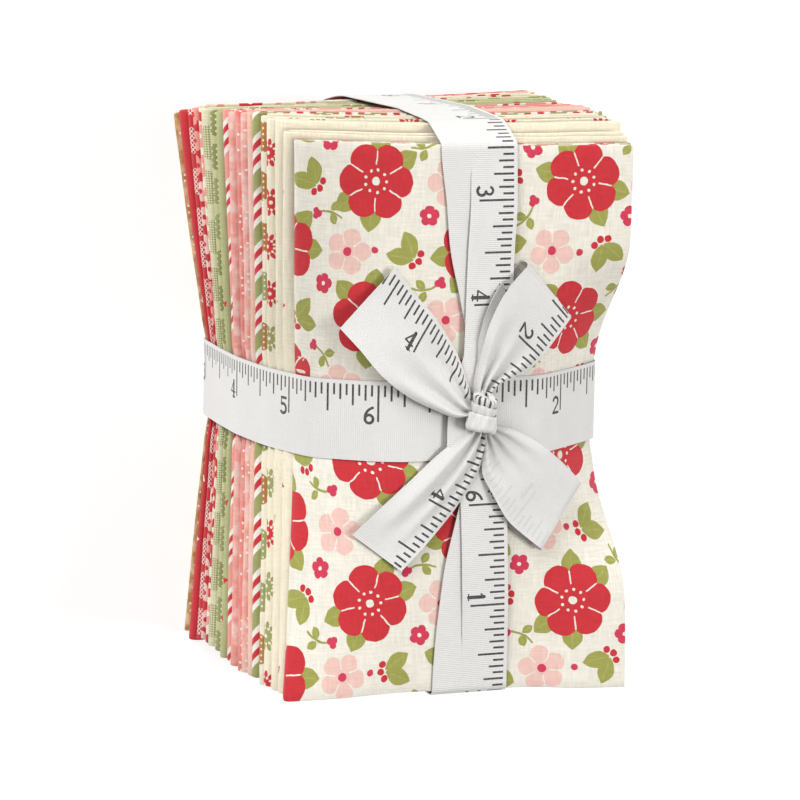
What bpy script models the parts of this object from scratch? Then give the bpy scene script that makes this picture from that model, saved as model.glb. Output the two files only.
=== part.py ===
"""A bundle of nineteen folded fat quarters, tied across and along with one ribbon.

The bundle lies on its back: +X runs across the fold, with the rounded spines at -X and the raw
edges at +X, +Y runs along the fold, and +Z is up through the stack. Tables are in millimetres.

Each fat quarter is one back-and-forth section of four sheets. A sheet stands for the three cloth
layers that the fold along the length puts on each other. Every piece is first laid out in a flat,
even stack, as (across, along, height), and `squeezed` then moves each point to where the tied
ribbon pulls it, so that neighbours keep their gaps.
"""

import math

import bmesh
import bpy
from mathutils import Matrix, Vector

MM = 0.001
UP = Vector((0, 0, 1))

# The cloth, as cut and as folded.
CUT_WIDTH = 457.2
LAYERS_ACROSS = 4
HALF_WIDTH = CUT_WIDTH / LAYERS_ACROSS / 2
HALF_LENGTH = 88.9
STACK_HEIGHT = 110.0
SHEET = 1.0
SHEET_GAP = 0.24
SHEET_STEP = SHEET + SHEET_GAP
FOLD_HEIGHT = LAYERS_ACROSS * SHEET + (LAYERS_ACROSS - 1) * SHEET_GAP
SPINE_STEPS = 3
SQUARE_FOLD_LEAN = math.radians(45)
COTTON_ROUGHNESS = 0.9

# How far the folds and edges inside a fat quarter lie behind its spine and its top raw edge.
FOLDED_EDGE_BACK = 0.6
INNER_EDGE_BACK = 1.2
INNER_SPINE_BACK = 1.1

# The ribbon.
RIBBON_WIDTH = 25.4
RIBBON = 0.9
CLEAR = 0.45
SMOOTHING = 0.1
BAND_HALF = RIBBON_WIDTH / 2
ALONG_BAND_CENTRE = 5.0
RIBBON_ROUGHNESS = 0.85
RIBBON_COLOUR = (0.86, 0.84, 0.80)

# How far the ribbon squeezes the stack: fully within this distance of the middle, and not at
# the ends.
TIGHT_HALF = 17.5
WAIST_HEIGHT = 107.0

# What the tight ribbon does to the stack at each distance across it. top_drop lowers the top and
# bottom_rise lifts the bottom at the waist, top_in and bottom_in move them across, and bulge
# pushes the middle of the side out. end_in and end_drop are the pull of the other band on the
# two ends.
SQUEEZE_COLUMNS = (
    "across", "top_drop", "bottom_rise", "top_in", "bottom_in", "bulge", "end_in", "end_drop",
)
SQUEEZE = (
    (-57.0, 24.2, 10.0, 10.4, 7.0, -4.0, 0.0, 0.0),
    (-42.0, 13.0, 0.0, 2.3, 1.0, 0.0, 0.3, 0.0),
    (-14.0, 0.0, 0.0, 0.0, 0.0, 0.0, 1.0, 2.0),
    (24.0, 0.5, 0.0, 0.0, 0.0, 0.0, 1.0, 2.0),
    (42.0, 10.0, 0.0, -1.2, -0.8, 0.0, 0.3, 0.0),
    (57.0, 22.0, 9.0, -1.6, -2.1, 2.5, 0.0, 0.0),
)
FOLD_KNOTS = (-42.0, -14.0, 24.0, 42.0)

# The lower pieces lie a little askew under the upper ones.
LOWER_SHIFT = -3.5
LOWER_LEAN = -2.4
LOWER_TURN = 2.2
UPPER_TURN = -1.9

# Grooves under the bundle, in which the ribbon lies clear of the surface. They fade out within
# the two lowest pieces, and the one across rises from its floor to its rim at TIGHT_HALF.
ACROSS_GROOVE = 3.1
ACROSS_GROOVE_HALF = 15.0
ALONG_GROOVE = 1.75
ALONG_GROOVE_FLOOR = (-9.5, 19.5)
GROOVED_PIECES = 2

# One row for each fat quarter, from the bottom up. spine is how far its spine lies in from the
# side of the stack, edge is where its raw edges end across the stack, and far and near are how
# far its two ends reach past the half length.
PIECE_COLUMNS = ("colour", "spine", "edge", "far", "near")
PIECES = (
    ((0.62, 0.33, 0.10), 0.00, 57.0, 0.0, -2.6),
    ((0.55, 0.02, 0.03), 0.15, 57.2, 1.4, -0.8),
    ((0.60, 0.03, 0.04), -0.25, 57.4, 2.6, -1.6),
    ((0.60, 0.06, 0.07), 0.10, 57.0, 3.5, -2.6),
    ((0.70, 0.18, 0.18), 0.30, 56.6, 3.8, -2.6),
    ((0.62, 0.62, 0.38), -0.15, 56.8, 3.8, -2.8),
    ((0.56, 0.62, 0.30), 0.20, 57.2, 3.6, -2.4),
    ((0.45, 0.52, 0.24), -0.20, 57.0, 3.2, -1.4),
    ((0.75, 0.35, 0.30), 0.25, 56.6, 4.0, -1.4),
    ((0.85, 0.50, 0.45), -0.30, 57.2, 3.8, -0.5),
    ((0.85, 0.35, 0.32), 0.10, 56.8, 4.8, -0.5),
    ((0.88, 0.58, 0.52), -0.10, 57.2, 4.6, -1.3),
    ((0.90, 0.62, 0.48), 0.15, 56.6, 5.2, -1.1),
    ((0.55, 0.50, 0.26), -0.25, 57.0, 5.2, -2.1),
    ((0.84, 0.72, 0.46), 0.10, 56.2, 4.8, -0.5),
    ((0.86, 0.76, 0.60), -0.15, 56.0, 4.6, -1.0),
    ((0.88, 0.82, 0.66), 0.10, 56.2, 4.0, -1.1),
    ((0.88, 0.82, 0.68), 0.10, 56.3, 1.2, -1.2),
    ((0.80, 0.10, 0.12), 0.00, 56.5, -1.2, -0.5),
)
PITCH = (STACK_HEIGHT - FOLD_HEIGHT) / (len(PIECES) - 1)

# The knot, and what comes out of it: two cut tails and two loops. corner_a and corner_b are the
# two outer corners of a tail's cut or of a loop's fold, and rise is how far the ribbon arches up
# on its way there. A loop's two leaves lie loop_height apart.
KNOT_CENTRE = (8.2, 1.9, 113.7)
KNOT_SIZE = (11.0, 13.0, 7.0)
KNOT_SEGMENTS = 14
KNOT_RINGS = 8
KNOT_GATHERS = 7
KNOT_GATHER = 0.07
BOW_COLUMNS = ("name", "corner_a", "corner_b", "rise", "loop_height")
BOW = (
    ("ribbon_tail_upper", (-22.4, 49.0, 108.6), (-37.6, 28.0, 104.0), 1.6, 0.0),
    ("ribbon_tail_lower", (-34.0, -36.2, 104.0), (-18.4, -47.6, 108.6), 1.6, 0.0),
    ("ribbon_loop_upper", (22.8, 49.4, 111.0), (38.5, 31.7, 108.0), 1.0, 4.6),
    ("ribbon_loop_lower", (44.7, -24.2, 107.0), (29.4, -44.4, 110.5), 1.0, 4.6),
)
BOW_ROOT_REACH = 6.6
BOW_ROOT_HALF = 3.6
BOW_ROOT_HEIGHT = 112.2
BOW_SHARES = (0.0, 0.25, 0.55, 1.0)
BOW_RIDGES = (0.0, 1.0, -0.2, 1.0, 0.0)
BOW_RIDGE_HEIGHT = 1.4
LEAF_GAP = 2.2
LOOP_FOLD_ANGLES = (-30, 30)


def column(table, names, name):
    place = names.index(name)
    return [row[place] for row in table]


def between(knots, values, at):
    """The value at a place between knots, along straight lines that run on past the ends."""
    last = len(knots) - 2
    i = 0
    while i < last and at > knots[i + 1]:
        i += 1
    share = (at - knots[i]) / (knots[i + 1] - knots[i])
    return values[i] + share * (values[i + 1] - values[i])


def named_rows(table, names):
    return [dict(zip(names, row)) for row in table]


PIECE_ROWS = named_rows(PIECES, PIECE_COLUMNS)
SQUEEZE_AT = column(SQUEEZE, SQUEEZE_COLUMNS, "across")
SQUEEZE_BY = {name: column(SQUEEZE, SQUEEZE_COLUMNS, name) for name in SQUEEZE_COLUMNS}


def squeeze(name, across):
    return between(SQUEEZE_AT, SQUEEZE_BY[name], across)


def groove(across, along, height):
    """How far the ribbon's groove lifts a point of the lowest pieces."""
    fade = 1 - height / (GROOVED_PIECES * PITCH)
    if fade <= 0:
        return 0.0
    left, right = ALONG_GROOVE_FLOOR
    rims = [FOLD_KNOTS[1], left, right, FOLD_KNOTS[2]]
    lengthwise = 0.0
    if rims[0] < across < rims[3]:
        lengthwise = between(rims, [0.0, ALONG_GROOVE, ALONG_GROOVE, 0.0], across)
    crosswise = 0.0
    if abs(across) < HALF_WIDTH:
        edge = [-HALF_WIDTH, FOLD_KNOTS[0], FOLD_KNOTS[3], HALF_WIDTH]
        crosswise = between(edge, [0.0, ACROSS_GROOVE, ACROSS_GROOVE, 0.0], across)
    out = (abs(along) - ACROSS_GROOVE_HALF) / (TIGHT_HALF - ACROSS_GROOVE_HALF)
    share = min(1.0, max(0.0, out))
    return fade * max(lengthwise, lengthwise * share + crosswise * (1 - share))


def askew(across, along, level):
    """How far a level of the stack is moved across from the top one, least at the raw edges."""
    share = (1 - level) * (1 - across / HALF_WIDTH) / 2
    return share * (LOWER_SHIFT + LOWER_LEAN * along / HALF_LENGTH)


def squeezed(across, along, height):
    """Where the tied ribbon moves a point of the even stack, in millimetres."""
    level = height / STACK_HEIGHT
    out = max(0.0, (abs(along) - TIGHT_HALF) / (HALF_LENGTH - TIGHT_HALF))
    tight = 1 - out
    side = 1 if along > 0 else -1
    top = STACK_HEIGHT + (WAIST_HEIGHT - STACK_HEIGHT - squeeze("top_drop", across)) * tight
    top -= squeeze("end_drop", across) * out
    bottom = squeeze("bottom_rise", across) * tight
    inward = squeeze("top_in", across) * level + squeeze("bottom_in", across) * (1 - level)
    inward += squeeze("bulge", across) * 4 * level * (1 - level)
    x = across + inward * tight
    y = along - side * squeeze("end_in", across) * out * level
    x += askew(across, along, level)
    y += (LOWER_TURN * (1 - level) + UPPER_TURN * level) * across / HALF_WIDTH
    z = level * top + (1 - level) * bottom + groove(across, along, height)
    return Vector((x, y, z))


def arc(centre, radius, start, turn, steps):
    """Points round a fold, each with the direction in which the sheet runs there."""
    points = []
    for i in range(steps + 1):
        angle = math.radians(start + turn * i / steps)
        heading = angle + math.copysign(math.pi / 2, turn)
        across = centre[0] + radius * math.cos(angle)
        height = centre[1] + radius * math.sin(angle)
        points.append((across, height, heading))
    return points


def folded_outline(base, spine, edge, knots):
    """The closed outline of the four sheets of a fat quarter that starts at this height."""
    levels = [base + SHEET / 2 + i * SHEET_STEP for i in range(LAYERS_ACROSS)]
    lowest, inner_low, inner_high, highest = levels
    radius = (highest - lowest) / 2
    spine_at = -HALF_WIDTH + spine + radius + SHEET / 2
    left = math.pi
    path = [(edge, highest, left)]
    path += [(at, highest, left) for at in reversed(knots)]
    path += arc((spine_at, (lowest + highest) / 2), radius, 90, 180, SPINE_STEPS)
    path += [(at, lowest, 0.0) for at in knots]
    path += square_fold(edge - FOLDED_EDGE_BACK, lowest, inner_low, 1)
    path += [(at, inner_low, left) for at in reversed(knots)]
    path += square_fold(spine_at - INNER_SPINE_BACK, inner_low, inner_high, -1)
    path += [(at, inner_high, 0.0) for at in knots]
    path += [(edge - INNER_EDGE_BACK, inner_high, 0.0)]
    return thickened(path)


def square_fold(across, start, end, outward):
    """The two corners of an inner fold. outward is 1 at the right and -1 at the left."""
    heading = 0.0 if outward == 1 else math.pi
    turn = outward * SQUARE_FOLD_LEAN
    scale = 1 / math.cos(SQUARE_FOLD_LEAN)
    return [(across, start, heading + turn, scale), (across, end, heading + 3 * turn, scale)]


def thickened(path):
    """The outline of a sheet along this path, at half its thickness to each side."""
    left_side, right_side = [], []
    for across, height, heading, *scale in path:
        reach = SHEET / 2 * (scale[0] if scale else 1)
        step = (-math.sin(heading) * reach, math.cos(heading) * reach)
        left_side.append((across + step[0], height + step[1]))
        right_side.append((across - step[0], height - step[1]))
    return right_side + left_side[::-1]


def add_object(name, points, faces, colour, roughness):
    """A mesh object with its own material, from points in millimetres."""
    mesh = bpy.data.meshes.new(name)
    mesh.from_pydata([Vector(point) * MM for point in points], [], faces)
    material = bpy.data.materials.new(name)
    material.use_nodes = True
    shader = material.node_tree.nodes["Principled BSDF"]
    shader.inputs["Base Color"].default_value = (*colour, 1)
    shader.inputs["Roughness"].default_value = roughness
    shader.inputs["Metallic"].default_value = 0
    mesh.materials.append(material)
    piece = bpy.data.objects.new(name, mesh)
    parts.objects.link(piece)
    return piece


def lofted_faces(outline, stations):
    """Triangles between like outlines. Each cell is split from its outer corner at the waist
    to its inner corner at the end, so that the sheets of a stack, which share the cells, bend
    alike."""
    count = len(outline)
    faces = []
    for i in range(len(stations) - 1):
        far_half = stations[i] + stations[i + 1] > 0
        for j in range(count):
            k = (j + 1) % count
            a, b = i * count + j, i * count + k
            c, d = (i + 1) * count + k, (i + 1) * count + j
            j_is_inner = abs(outline[j][0]) < abs(outline[k][0])
            if j_is_inner != far_half:
                faces += [(a, c, b), (a, d, c)]
            else:
                faces += [(a, d, b), (b, d, c)]
    return faces


def ends_between(outline, count):
    """The two flat ends of a folded sheet: a strip of triangles across its thickness."""
    half = len(outline) // 2
    last = len(outline) - 1
    near, far = [], []
    for j in range(half - 1):
        a, b, c, d = j, j + 1, last - j - 1, last - j
        near += [(a, b, c), (a, c, d)]
        far += [(a + count, c + count, b + count), (a + count, d + count, c + count)]
    return near + far


def stations_of(number):
    """Where the outline of a fat quarter is repeated along its length."""
    piece = PIECE_ROWS[number - 1]
    far_end, near_end = HALF_LENGTH + piece["far"], -HALF_LENGTH - piece["near"]
    stations = [near_end, -TIGHT_HALF, TIGHT_HALF, far_end]
    if number <= GROOVED_PIECES:
        stations[2:2] = [-ACROSS_GROOVE_HALF, ACROSS_GROOVE_HALF]
    return stations


def outline_of(number):
    piece = PIECE_ROWS[number - 1]
    knots = list(FOLD_KNOTS)
    if number <= GROOVED_PIECES:
        knots[2:2] = ALONG_GROOVE_FLOOR
    return folded_outline((number - 1) * PITCH, piece["spine"], piece["edge"], knots)


def fat_quarter(number):
    outline, stations = outline_of(number), stations_of(number)
    points = [squeezed(at, along, height) for along in stations for at, height in outline]
    faces = lofted_faces(outline, stations)
    faces += ends_between(outline, (len(stations) - 1) * len(outline))
    colour = PIECE_ROWS[number - 1]["colour"]
    return add_object(f"fat_quarter_{number:02d}", points, faces, colour, COTTON_ROUGHNESS)


def ribbon(name, rows, closed=False, offset=0):
    """A strip of ribbon through rows of points, thickened about it, or outwards with offset 1."""
    wide = len(rows[0])
    faces = []
    for i in range(len(rows) if closed else len(rows) - 1):
        n = (i + 1) % len(rows)
        faces += [
            (i * wide + j, i * wide + j + 1, n * wide + j + 1, n * wide + j)
            for j in range(wide - 1)
        ]
    points = [point for row in rows for point in row]
    piece = add_object(name, points, faces, RIBBON_COLOUR, RIBBON_ROUGHNESS)
    thickness = piece.modifiers.new("thickness", "SOLIDIFY")
    thickness.thickness = RIBBON * MM
    thickness.offset = offset
    thickness.use_even_offset = True
    return piece


def turn_of(a, b, c):
    """Twice the area of a triangle, positive where a, b and c run counter-clockwise."""
    return (b[0] - a[0]) * (c[1] - b[1]) - (b[1] - a[1]) * (c[0] - b[0])


def hull_chain(ordered):
    line = []
    for point in ordered:
        while len(line) > 1 and turn_of(line[-2], line[-1], point) <= 0:
            line.pop()
        line.append(point)
    return line[:-1]


def taut(points):
    """The line that a tight ribbon takes round points of a plane, CLEAR away from them."""
    ordered = sorted(points)
    outline = hull_chain(ordered) + hull_chain(ordered[::-1])
    i = 0
    while i < len(outline):
        before, at, after = outline[i - 1], outline[i], outline[(i + 1) % len(outline)]
        if turn_of(before, at, after) < SMOOTHING * math.dist(before, after):
            outline.pop(i)
        else:
            i += 1
    line = []
    for i, at in enumerate(outline):
        before, after = outline[i - 1], outline[(i + 1) % len(outline)]
        ways = [(Vector(at) - Vector(before)).normalized(), (Vector(after) - Vector(at)).normalized()]
        mean = (ways[0] + ways[1]).normalized()
        reach = CLEAR / mean.dot(ways[0])
        line.append((at[0] + mean.y * reach, at[1] - mean.x * reach))
    return line


def band_across():
    """Round the waist: under the stack, up the raw edges, over the top and down the spines."""
    points = []
    for number in range(1, len(PIECES) + 1):
        for along in (-ACROSS_GROOVE_HALF, ACROSS_GROOVE_HALF):
            for at, height in outline_of(number):
                point = squeezed(at, along, height)
                points.append((point.x, point.z))
    outline = taut(points)
    rows = [((x, -BAND_HALF, z), (x, BAND_HALF, z)) for x, z in outline]
    return ribbon("ribbon_band_across", rows, closed=True, offset=1)


def band_along():
    """Round the length, over the other band on the top and under it at the bottom."""
    over = CLEAR + RIBBON
    points = []
    for number in range(1, len(PIECES) + 1):
        base = (number - 1) * PITCH
        for along in stations_of(number):
            for across in ALONG_GROOVE_FLOOR:
                for height in (base, base + FOLD_HEIGHT):
                    point = squeezed(across, along, height)
                    points.append((point.y, point.z))
                    if abs(along) == TIGHT_HALF and number == len(PIECES):
                        points.append((point.y, point.z + over))
    rows = []
    for y, z in taut(points):
        middle = ALONG_BAND_CENTRE + askew(ALONG_BAND_CENTRE, y, z / STACK_HEIGHT)
        rows.append(((middle + BAND_HALF, y, z), (middle - BAND_HALF, y, z)))
    return ribbon("ribbon_band_along", rows, closed=True, offset=1)


def knot():
    """A wrap of ribbon drawn tight over the crossing, with gathers round its side."""
    shape = bmesh.new()
    bmesh.ops.create_uvsphere(shape, u_segments=KNOT_SEGMENTS, v_segments=KNOT_RINGS, radius=1)
    for corner in shape.verts:
        round_it = math.atan2(corner.co.y, corner.co.x)
        gather = 1 + KNOT_GATHER * math.cos(KNOT_GATHERS * round_it)
        size = Vector(KNOT_SIZE) / 2
        corner.co.x *= size.x * gather
        corner.co.y *= size.y * gather
        corner.co.z *= size.z
    shape.verts.index_update()
    points = [corner.co + Vector(KNOT_CENTRE) for corner in shape.verts]
    faces = [[corner.index for corner in face.verts] for face in shape.faces]
    shape.free()
    return add_object("ribbon_knot", points, faces, RIBBON_COLOUR, RIBBON_ROUGHNESS)


def bow_row(root, end, root_side, end_side, share, lift, rise):
    """One row of points across a tail or a leaf, gathered at the knot and flat at the end."""
    middle = root.lerp(end, share) + UP * (lift + rise * math.sin(math.pi * share))
    half = root_side.lerp(end_side, math.sin(math.pi / 2 * share))
    last = len(BOW_RIDGES) - 1
    row = []
    for j, ridge in enumerate(BOW_RIDGES):
        height = UP * (ridge * BOW_RIDGE_HEIGHT * (1 - share))
        row.append(middle + half * (2 * j / last - 1) + height)
    return row


def bow_end(name, corner_a, corner_b, rise, loop_height):
    """A tail, or a loop whose lower leaf runs out to the fold and whose upper leaf comes back."""
    a, b, centre = Vector(corner_a), Vector(corner_b), Vector(KNOT_CENTRE)
    end, end_side = (a + b) / 2, (b - a) / 2
    way = end - centre
    way.z = 0
    way.normalize()
    root = centre + way * BOW_ROOT_REACH
    root.z = BOW_ROOT_HEIGHT
    root_side = (end_side - way * end_side.dot(way)).normalized() * BOW_ROOT_HALF
    radius = loop_height / 2
    inner_end = end - way * radius
    shares = BOW_SHARES
    rows = [bow_row(root, inner_end, root_side, end_side, s, -radius * s, rise) for s in shares]
    if loop_height:
        for angle in LOOP_FOLD_ANGLES:
            out = way * (radius * math.cos(math.radians(angle)))
            up = radius * math.sin(math.radians(angle))
            rows.append(bow_row(root, inner_end + out, root_side, end_side, 1.0, up, 0.0))
        lifts = [LEAF_GAP + (radius - LEAF_GAP) * s for s in reversed(shares)]
        rows += [
            bow_row(root, inner_end, root_side, end_side, s, lift, rise)
            for s, lift in zip(reversed(shares), lifts)
        ]
    return ribbon(name, rows)


def centre_on_footprint():
    """Moves everything so that the origin is under the middle of the bundle's box."""
    bpy.context.view_layer.update()
    depsgraph = bpy.context.evaluated_depsgraph_get()
    corners = [Vector(c) for piece in parts.objects for c in piece.evaluated_get(depsgraph).bound_box]
    shift = Vector((0, 0, 0))
    for axis in (0, 1):
        places = [corner[axis] for corner in corners]
        shift[axis] = -(min(places) + max(places)) / 2
    for piece in parts.objects:
        piece.data.transform(Matrix.Translation(shift))
    print("moved onto its footprint by", [round(value / MM, 3) for value in shift], "mm")


for old in list(bpy.data.objects):
    bpy.data.objects.remove(old)
parts = bpy.data.collections.new("fat_quarter_bundle")
bpy.context.scene.collection.children.link(parts)

for index in range(len(PIECE_ROWS)):
    fat_quarter(index + 1)
band_across()
band_along()
knot()
for bow_row_values in named_rows(BOW, BOW_COLUMNS):
    bow_end(**bow_row_values)
centre_on_footprint()
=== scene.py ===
# %% [markdown]
# # A bundle of fat quarters, tied with a measuring ribbon
#
# Nineteen pieces of quilting cotton, each folded into a flat packet, lie in one stack. A printed
# cotton ribbon is tied round it both ways and ends in a bow. Everything here is cloth, so each
# piece starts as a flat grid, the size that it was cut to, and is then folded by moving its
# points. The flat sizes stay on as the UV map, so that a print follows its cloth round each fold.

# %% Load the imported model
import math

import bpy
import numpy as np
from mathutils import Matrix, Vector


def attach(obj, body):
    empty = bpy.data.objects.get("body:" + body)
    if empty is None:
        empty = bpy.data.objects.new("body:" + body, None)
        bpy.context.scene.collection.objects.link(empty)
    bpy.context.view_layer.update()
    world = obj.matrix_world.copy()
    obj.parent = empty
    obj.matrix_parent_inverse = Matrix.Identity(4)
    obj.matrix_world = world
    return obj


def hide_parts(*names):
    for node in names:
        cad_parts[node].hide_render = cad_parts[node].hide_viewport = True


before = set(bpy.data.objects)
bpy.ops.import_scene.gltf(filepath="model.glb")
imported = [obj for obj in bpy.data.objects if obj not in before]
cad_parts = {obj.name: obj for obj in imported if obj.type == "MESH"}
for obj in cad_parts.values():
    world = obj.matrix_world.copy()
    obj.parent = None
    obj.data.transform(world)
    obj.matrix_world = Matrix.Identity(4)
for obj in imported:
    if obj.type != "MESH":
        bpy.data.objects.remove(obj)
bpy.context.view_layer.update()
MM = 0.001

# %% [markdown]
# ## Camera, floor and light
#
# The bundle lies on its back and is seen from above, from its left and from a little beyond its
# far end, with a long lens. The floor glows a little, as a lit white table does, so that only a
# faint shadow shows close to the bundle. One soft light hangs high at the right, and a wide one at
# the far left lights the spines and the far ends of the cloth.

# %% Camera
CAMERA_PLACE = Vector((-0.4023, 0.2095, 1.1599))
CAMERA_AIM = Vector((0.0029, -0.0062, 0.05))
UP_IN_VIEW = Vector((0.0456, 0.9836, -0.1745))
LENS_MM, SENSOR_MM = 164.2, 36

view_back = (CAMERA_PLACE - CAMERA_AIM).normalized()
view_right = UP_IN_VIEW.cross(view_back).normalized()
view_up = view_back.cross(view_right)
turn = Matrix((view_right, view_up, view_back)).transposed().to_4x4()
bpy.ops.object.camera_add()
camera = bpy.context.object
camera.name = "camera"
camera.matrix_world = Matrix.Translation(CAMERA_PLACE) @ turn
camera.data.lens = LENS_MM
camera.data.sensor_width = SENSOR_MM
bpy.context.scene.camera = camera
print("camera to bundle:", round((CAMERA_PLACE - CAMERA_AIM).length, 3), "m")

# %% Floor and surroundings
FLOOR_SIDE = 6
FLOOR_COLOUR = (0.45, 0.45, 0.45, 1)
FLOOR_ROUGHNESS = 0.9
FLOOR_GLOW = 0.68
SURROUNDINGS_GLOW = 0.33
WHITE_LIGHT = (1, 1, 1, 1)

bpy.ops.mesh.primitive_plane_add(size=FLOOR_SIDE)
floor = bpy.context.object
floor.name = "floor"
floor_finish = bpy.data.materials.new("pale_floor")
floor_finish.use_nodes = True
floor_shader = floor_finish.node_tree.nodes["Principled BSDF"]
floor_shader.inputs["Base Color"].default_value = FLOOR_COLOUR
floor_shader.inputs["Roughness"].default_value = FLOOR_ROUGHNESS
floor_shader.inputs["Emission Color"].default_value = WHITE_LIGHT
floor_shader.inputs["Emission Strength"].default_value = FLOOR_GLOW
floor.data.materials.append(floor_finish)

surroundings = bpy.data.worlds.new("surroundings")
surroundings.use_nodes = True
glow = surroundings.node_tree.nodes["Background"]
glow.inputs["Color"].default_value = WHITE_LIGHT
glow.inputs["Strength"].default_value = SURROUNDINGS_GLOW
bpy.context.scene.world = surroundings
bpy.context.scene.view_settings.view_transform = "Standard"
print("floor:", FLOOR_SIDE, "m each way")

# %% Lights
# Name, place and side in metres, and power in watts.
LIGHTS = (
    ("key_light", (0.85, 0.0, 1.5), 0.5, 16.3),
    ("fill_light", (-1.2, 1.5, 0.85), 1.2, 39),
)

for light_name, light_place, light_side, power in LIGHTS:
    bpy.ops.object.light_add(type="AREA", location=light_place)
    lamp = bpy.context.object
    lamp.name = light_name
    lamp.data.size = light_side
    lamp.data.energy = power
    lamp.rotation_euler = (-Vector(light_place)).to_track_quat("-Z", "Y").to_euler()
    print(light_name, power, "W")

# %% [markdown]
# ## How the ribbon squeezes the stack
#
# Folding is worked out in a flat, even stack, in millimetres: across from the spines at the left
# to the raw edges at the right, along the fold, and height. One function then moves any point of
# that stack to where it lies in the tied bundle, so that no two layers can cross. The ribbon
# pulls the waist in and the shoulders down, and its pull fades towards the two ends. The table
# repeats the frame's own sizes, and the rows are joined by smooth curves instead of straight
# lines, because cloth bends softly.

# %% Sizes of the stack and of the squeeze
FOOTPRINT_SHIFT = (1.713, -2.299)
HALF_WIDTH = 57.15
HALF_LENGTH = 88.9
STACK_HEIGHT = 110.0
WAIST_HEIGHT = 107.0
WAIST_HALF = 14.0
PULL_FADE = 1.1
RIGHT_SIDE = (10, 50)
RIGHT_FADE = 58.0
LOWER_SHIFT, LOWER_LEAN, LOWER_TURN, UPPER_TURN = -3.5, -2.4, 2.2, -1.9

SQUEEZE_COLUMNS = (
    "across", "top_drop", "bottom_rise", "top_in", "bottom_in", "bulge", "end_in", "end_drop",
)
SQUEEZE = np.array([
    (-57.0, 24.2, 10.0, 10.4, 7.0, -4.0, 0.0, 0.0),
    (-42.0, 13.0, 0.0, 2.3, 1.0, 0.0, 0.3, 0.0),
    (-14.0, 0.0, 0.0, 0.0, 0.0, 0.0, 1.0, 2.0),
    (24.0, 0.5, 0.0, 0.0, 0.0, 0.0, 1.0, 2.0),
    (42.0, 10.0, 0.0, -1.2, -0.8, 0.0, 0.3, 0.0),
    (57.0, 22.0, 9.0, -1.6, -2.1, 2.5, 0.0, 0.0),
])


def smooth_step(value, start, end):
    share = np.clip((value - start) / (end - start), 0, 1)
    return share * share * (3 - 2 * share)


def smooth_curve(knots, values, at):
    """A cubic through the values at the knots that never overshoots between them."""
    knots, values = np.asarray(knots, float), np.asarray(values, float)
    gaps = np.diff(knots)
    slopes = np.diff(values) / gaps
    tangents = np.empty(len(knots))
    tangents[0], tangents[-1] = slopes[0], slopes[-1]
    same_way = slopes[:-1] * slopes[1:] > 0
    mean = 2 * slopes[:-1] * slopes[1:] / np.where(same_way, slopes[:-1] + slopes[1:], 1)
    tangents[1:-1] = np.where(same_way, mean, 0)
    at = np.clip(at, knots[0], knots[-1])
    i = np.clip(np.searchsorted(knots, at, side="right") - 1, 0, len(gaps) - 1)
    s = (at - knots[i]) / gaps[i]
    rise = values[i + 1] - values[i]
    start, end = tangents[i] * gaps[i], tangents[i + 1] * gaps[i]
    return values[i] + s * (start + s * (3 * rise - 2 * start - end + s * (start + end - 2 * rise)))


def squeeze(name, across):
    return smooth_curve(SQUEEZE[:, 0], SQUEEZE[:, SQUEEZE_COLUMNS.index(name)], across)


print("drop of the top left edge at the waist:", squeeze("top_drop", -HALF_WIDTH), "mm")

# %% [markdown]
# ### What the ribbon and the free ends add
#
# The ribbon lies in a groove under the stack, so the lowest two pieces rise over it. Where it
# crosses the top it sinks in over its own width, and the cloth swells a little beside it. Towards
# the two ends nothing presses the layers together, so they lie unevenly there.

# %% Groove, dent and loose ends
RIBBON_WIDTH = 25.4
EVEN_PITCH = 5.842
GROOVE_HEIGHT = 2 * EVEN_PITCH
LENGTHWISE_GROOVE = ((-14, -9.5, 19.5, 24), (0, 1.75, 1.75, 0))
CROSSWISE_GROOVE = ((-HALF_WIDTH, -42, 42, HALF_WIDTH), (0, 3.1, 3.1, 0))
CROSSWISE_GROOVE_SIDE = ((15, 17.5), (0, 1))
DENT, DENT_EDGE_IN, DENT_EDGE_OUT = 0.55, 1.5, 4
DENT_AT_SIDES, DENT_AT_TOP = (46, 57), (0.8, 1)
SWELLING, SWELLING_REACH = 0.35, 7
FLUTTER = 0.45
LOOSE_FROM, LOOSE_TO = 35, 90
FLUTTER_WAVES = ((8, 5, 0), (13, -7, 2))
NEAR_SPREAD = 2.0
NEAR_SPREAD_ALONG, NEAR_SPREAD_ACROSS = (20, 80), (15, 57)


def groove(across, along, height):
    """How far the ribbon's groove lifts the lowest two pieces."""
    fade = np.clip(1 - height / GROOVE_HEIGHT, 0, 1)
    lengthwise = np.interp(across, *LENGTHWISE_GROOVE)
    crosswise = np.interp(across, *CROSSWISE_GROOVE)
    share = np.interp(np.abs(along), *CROSSWISE_GROOVE_SIDE)
    return fade * np.maximum(lengthwise, lengthwise * share + crosswise * (1 - share))


def pressed(along):
    """How far a tight ribbon sinks in over its own width, with a low swelling beside it."""
    half = RIBBON_WIDTH / 2
    inside = 1 - smooth_step(np.abs(along), half - DENT_EDGE_IN, half + DENT_EDGE_OUT)
    beside = np.exp(-(((np.abs(along) - half - SWELLING_REACH) / SWELLING_REACH) ** 2))
    return inside - SWELLING * beside


def flutter(across, along, height):
    """How unevenly the layers lie towards the two ends."""
    level = height / STACK_HEIGHT
    loose = smooth_step(np.abs(along), LOOSE_FROM, LOOSE_TO) * 4 * level * (1 - level)
    return FLUTTER * loose * sum(np.sin(across / a + height / b + c) for a, b, c in FLUTTER_WAVES)


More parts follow.
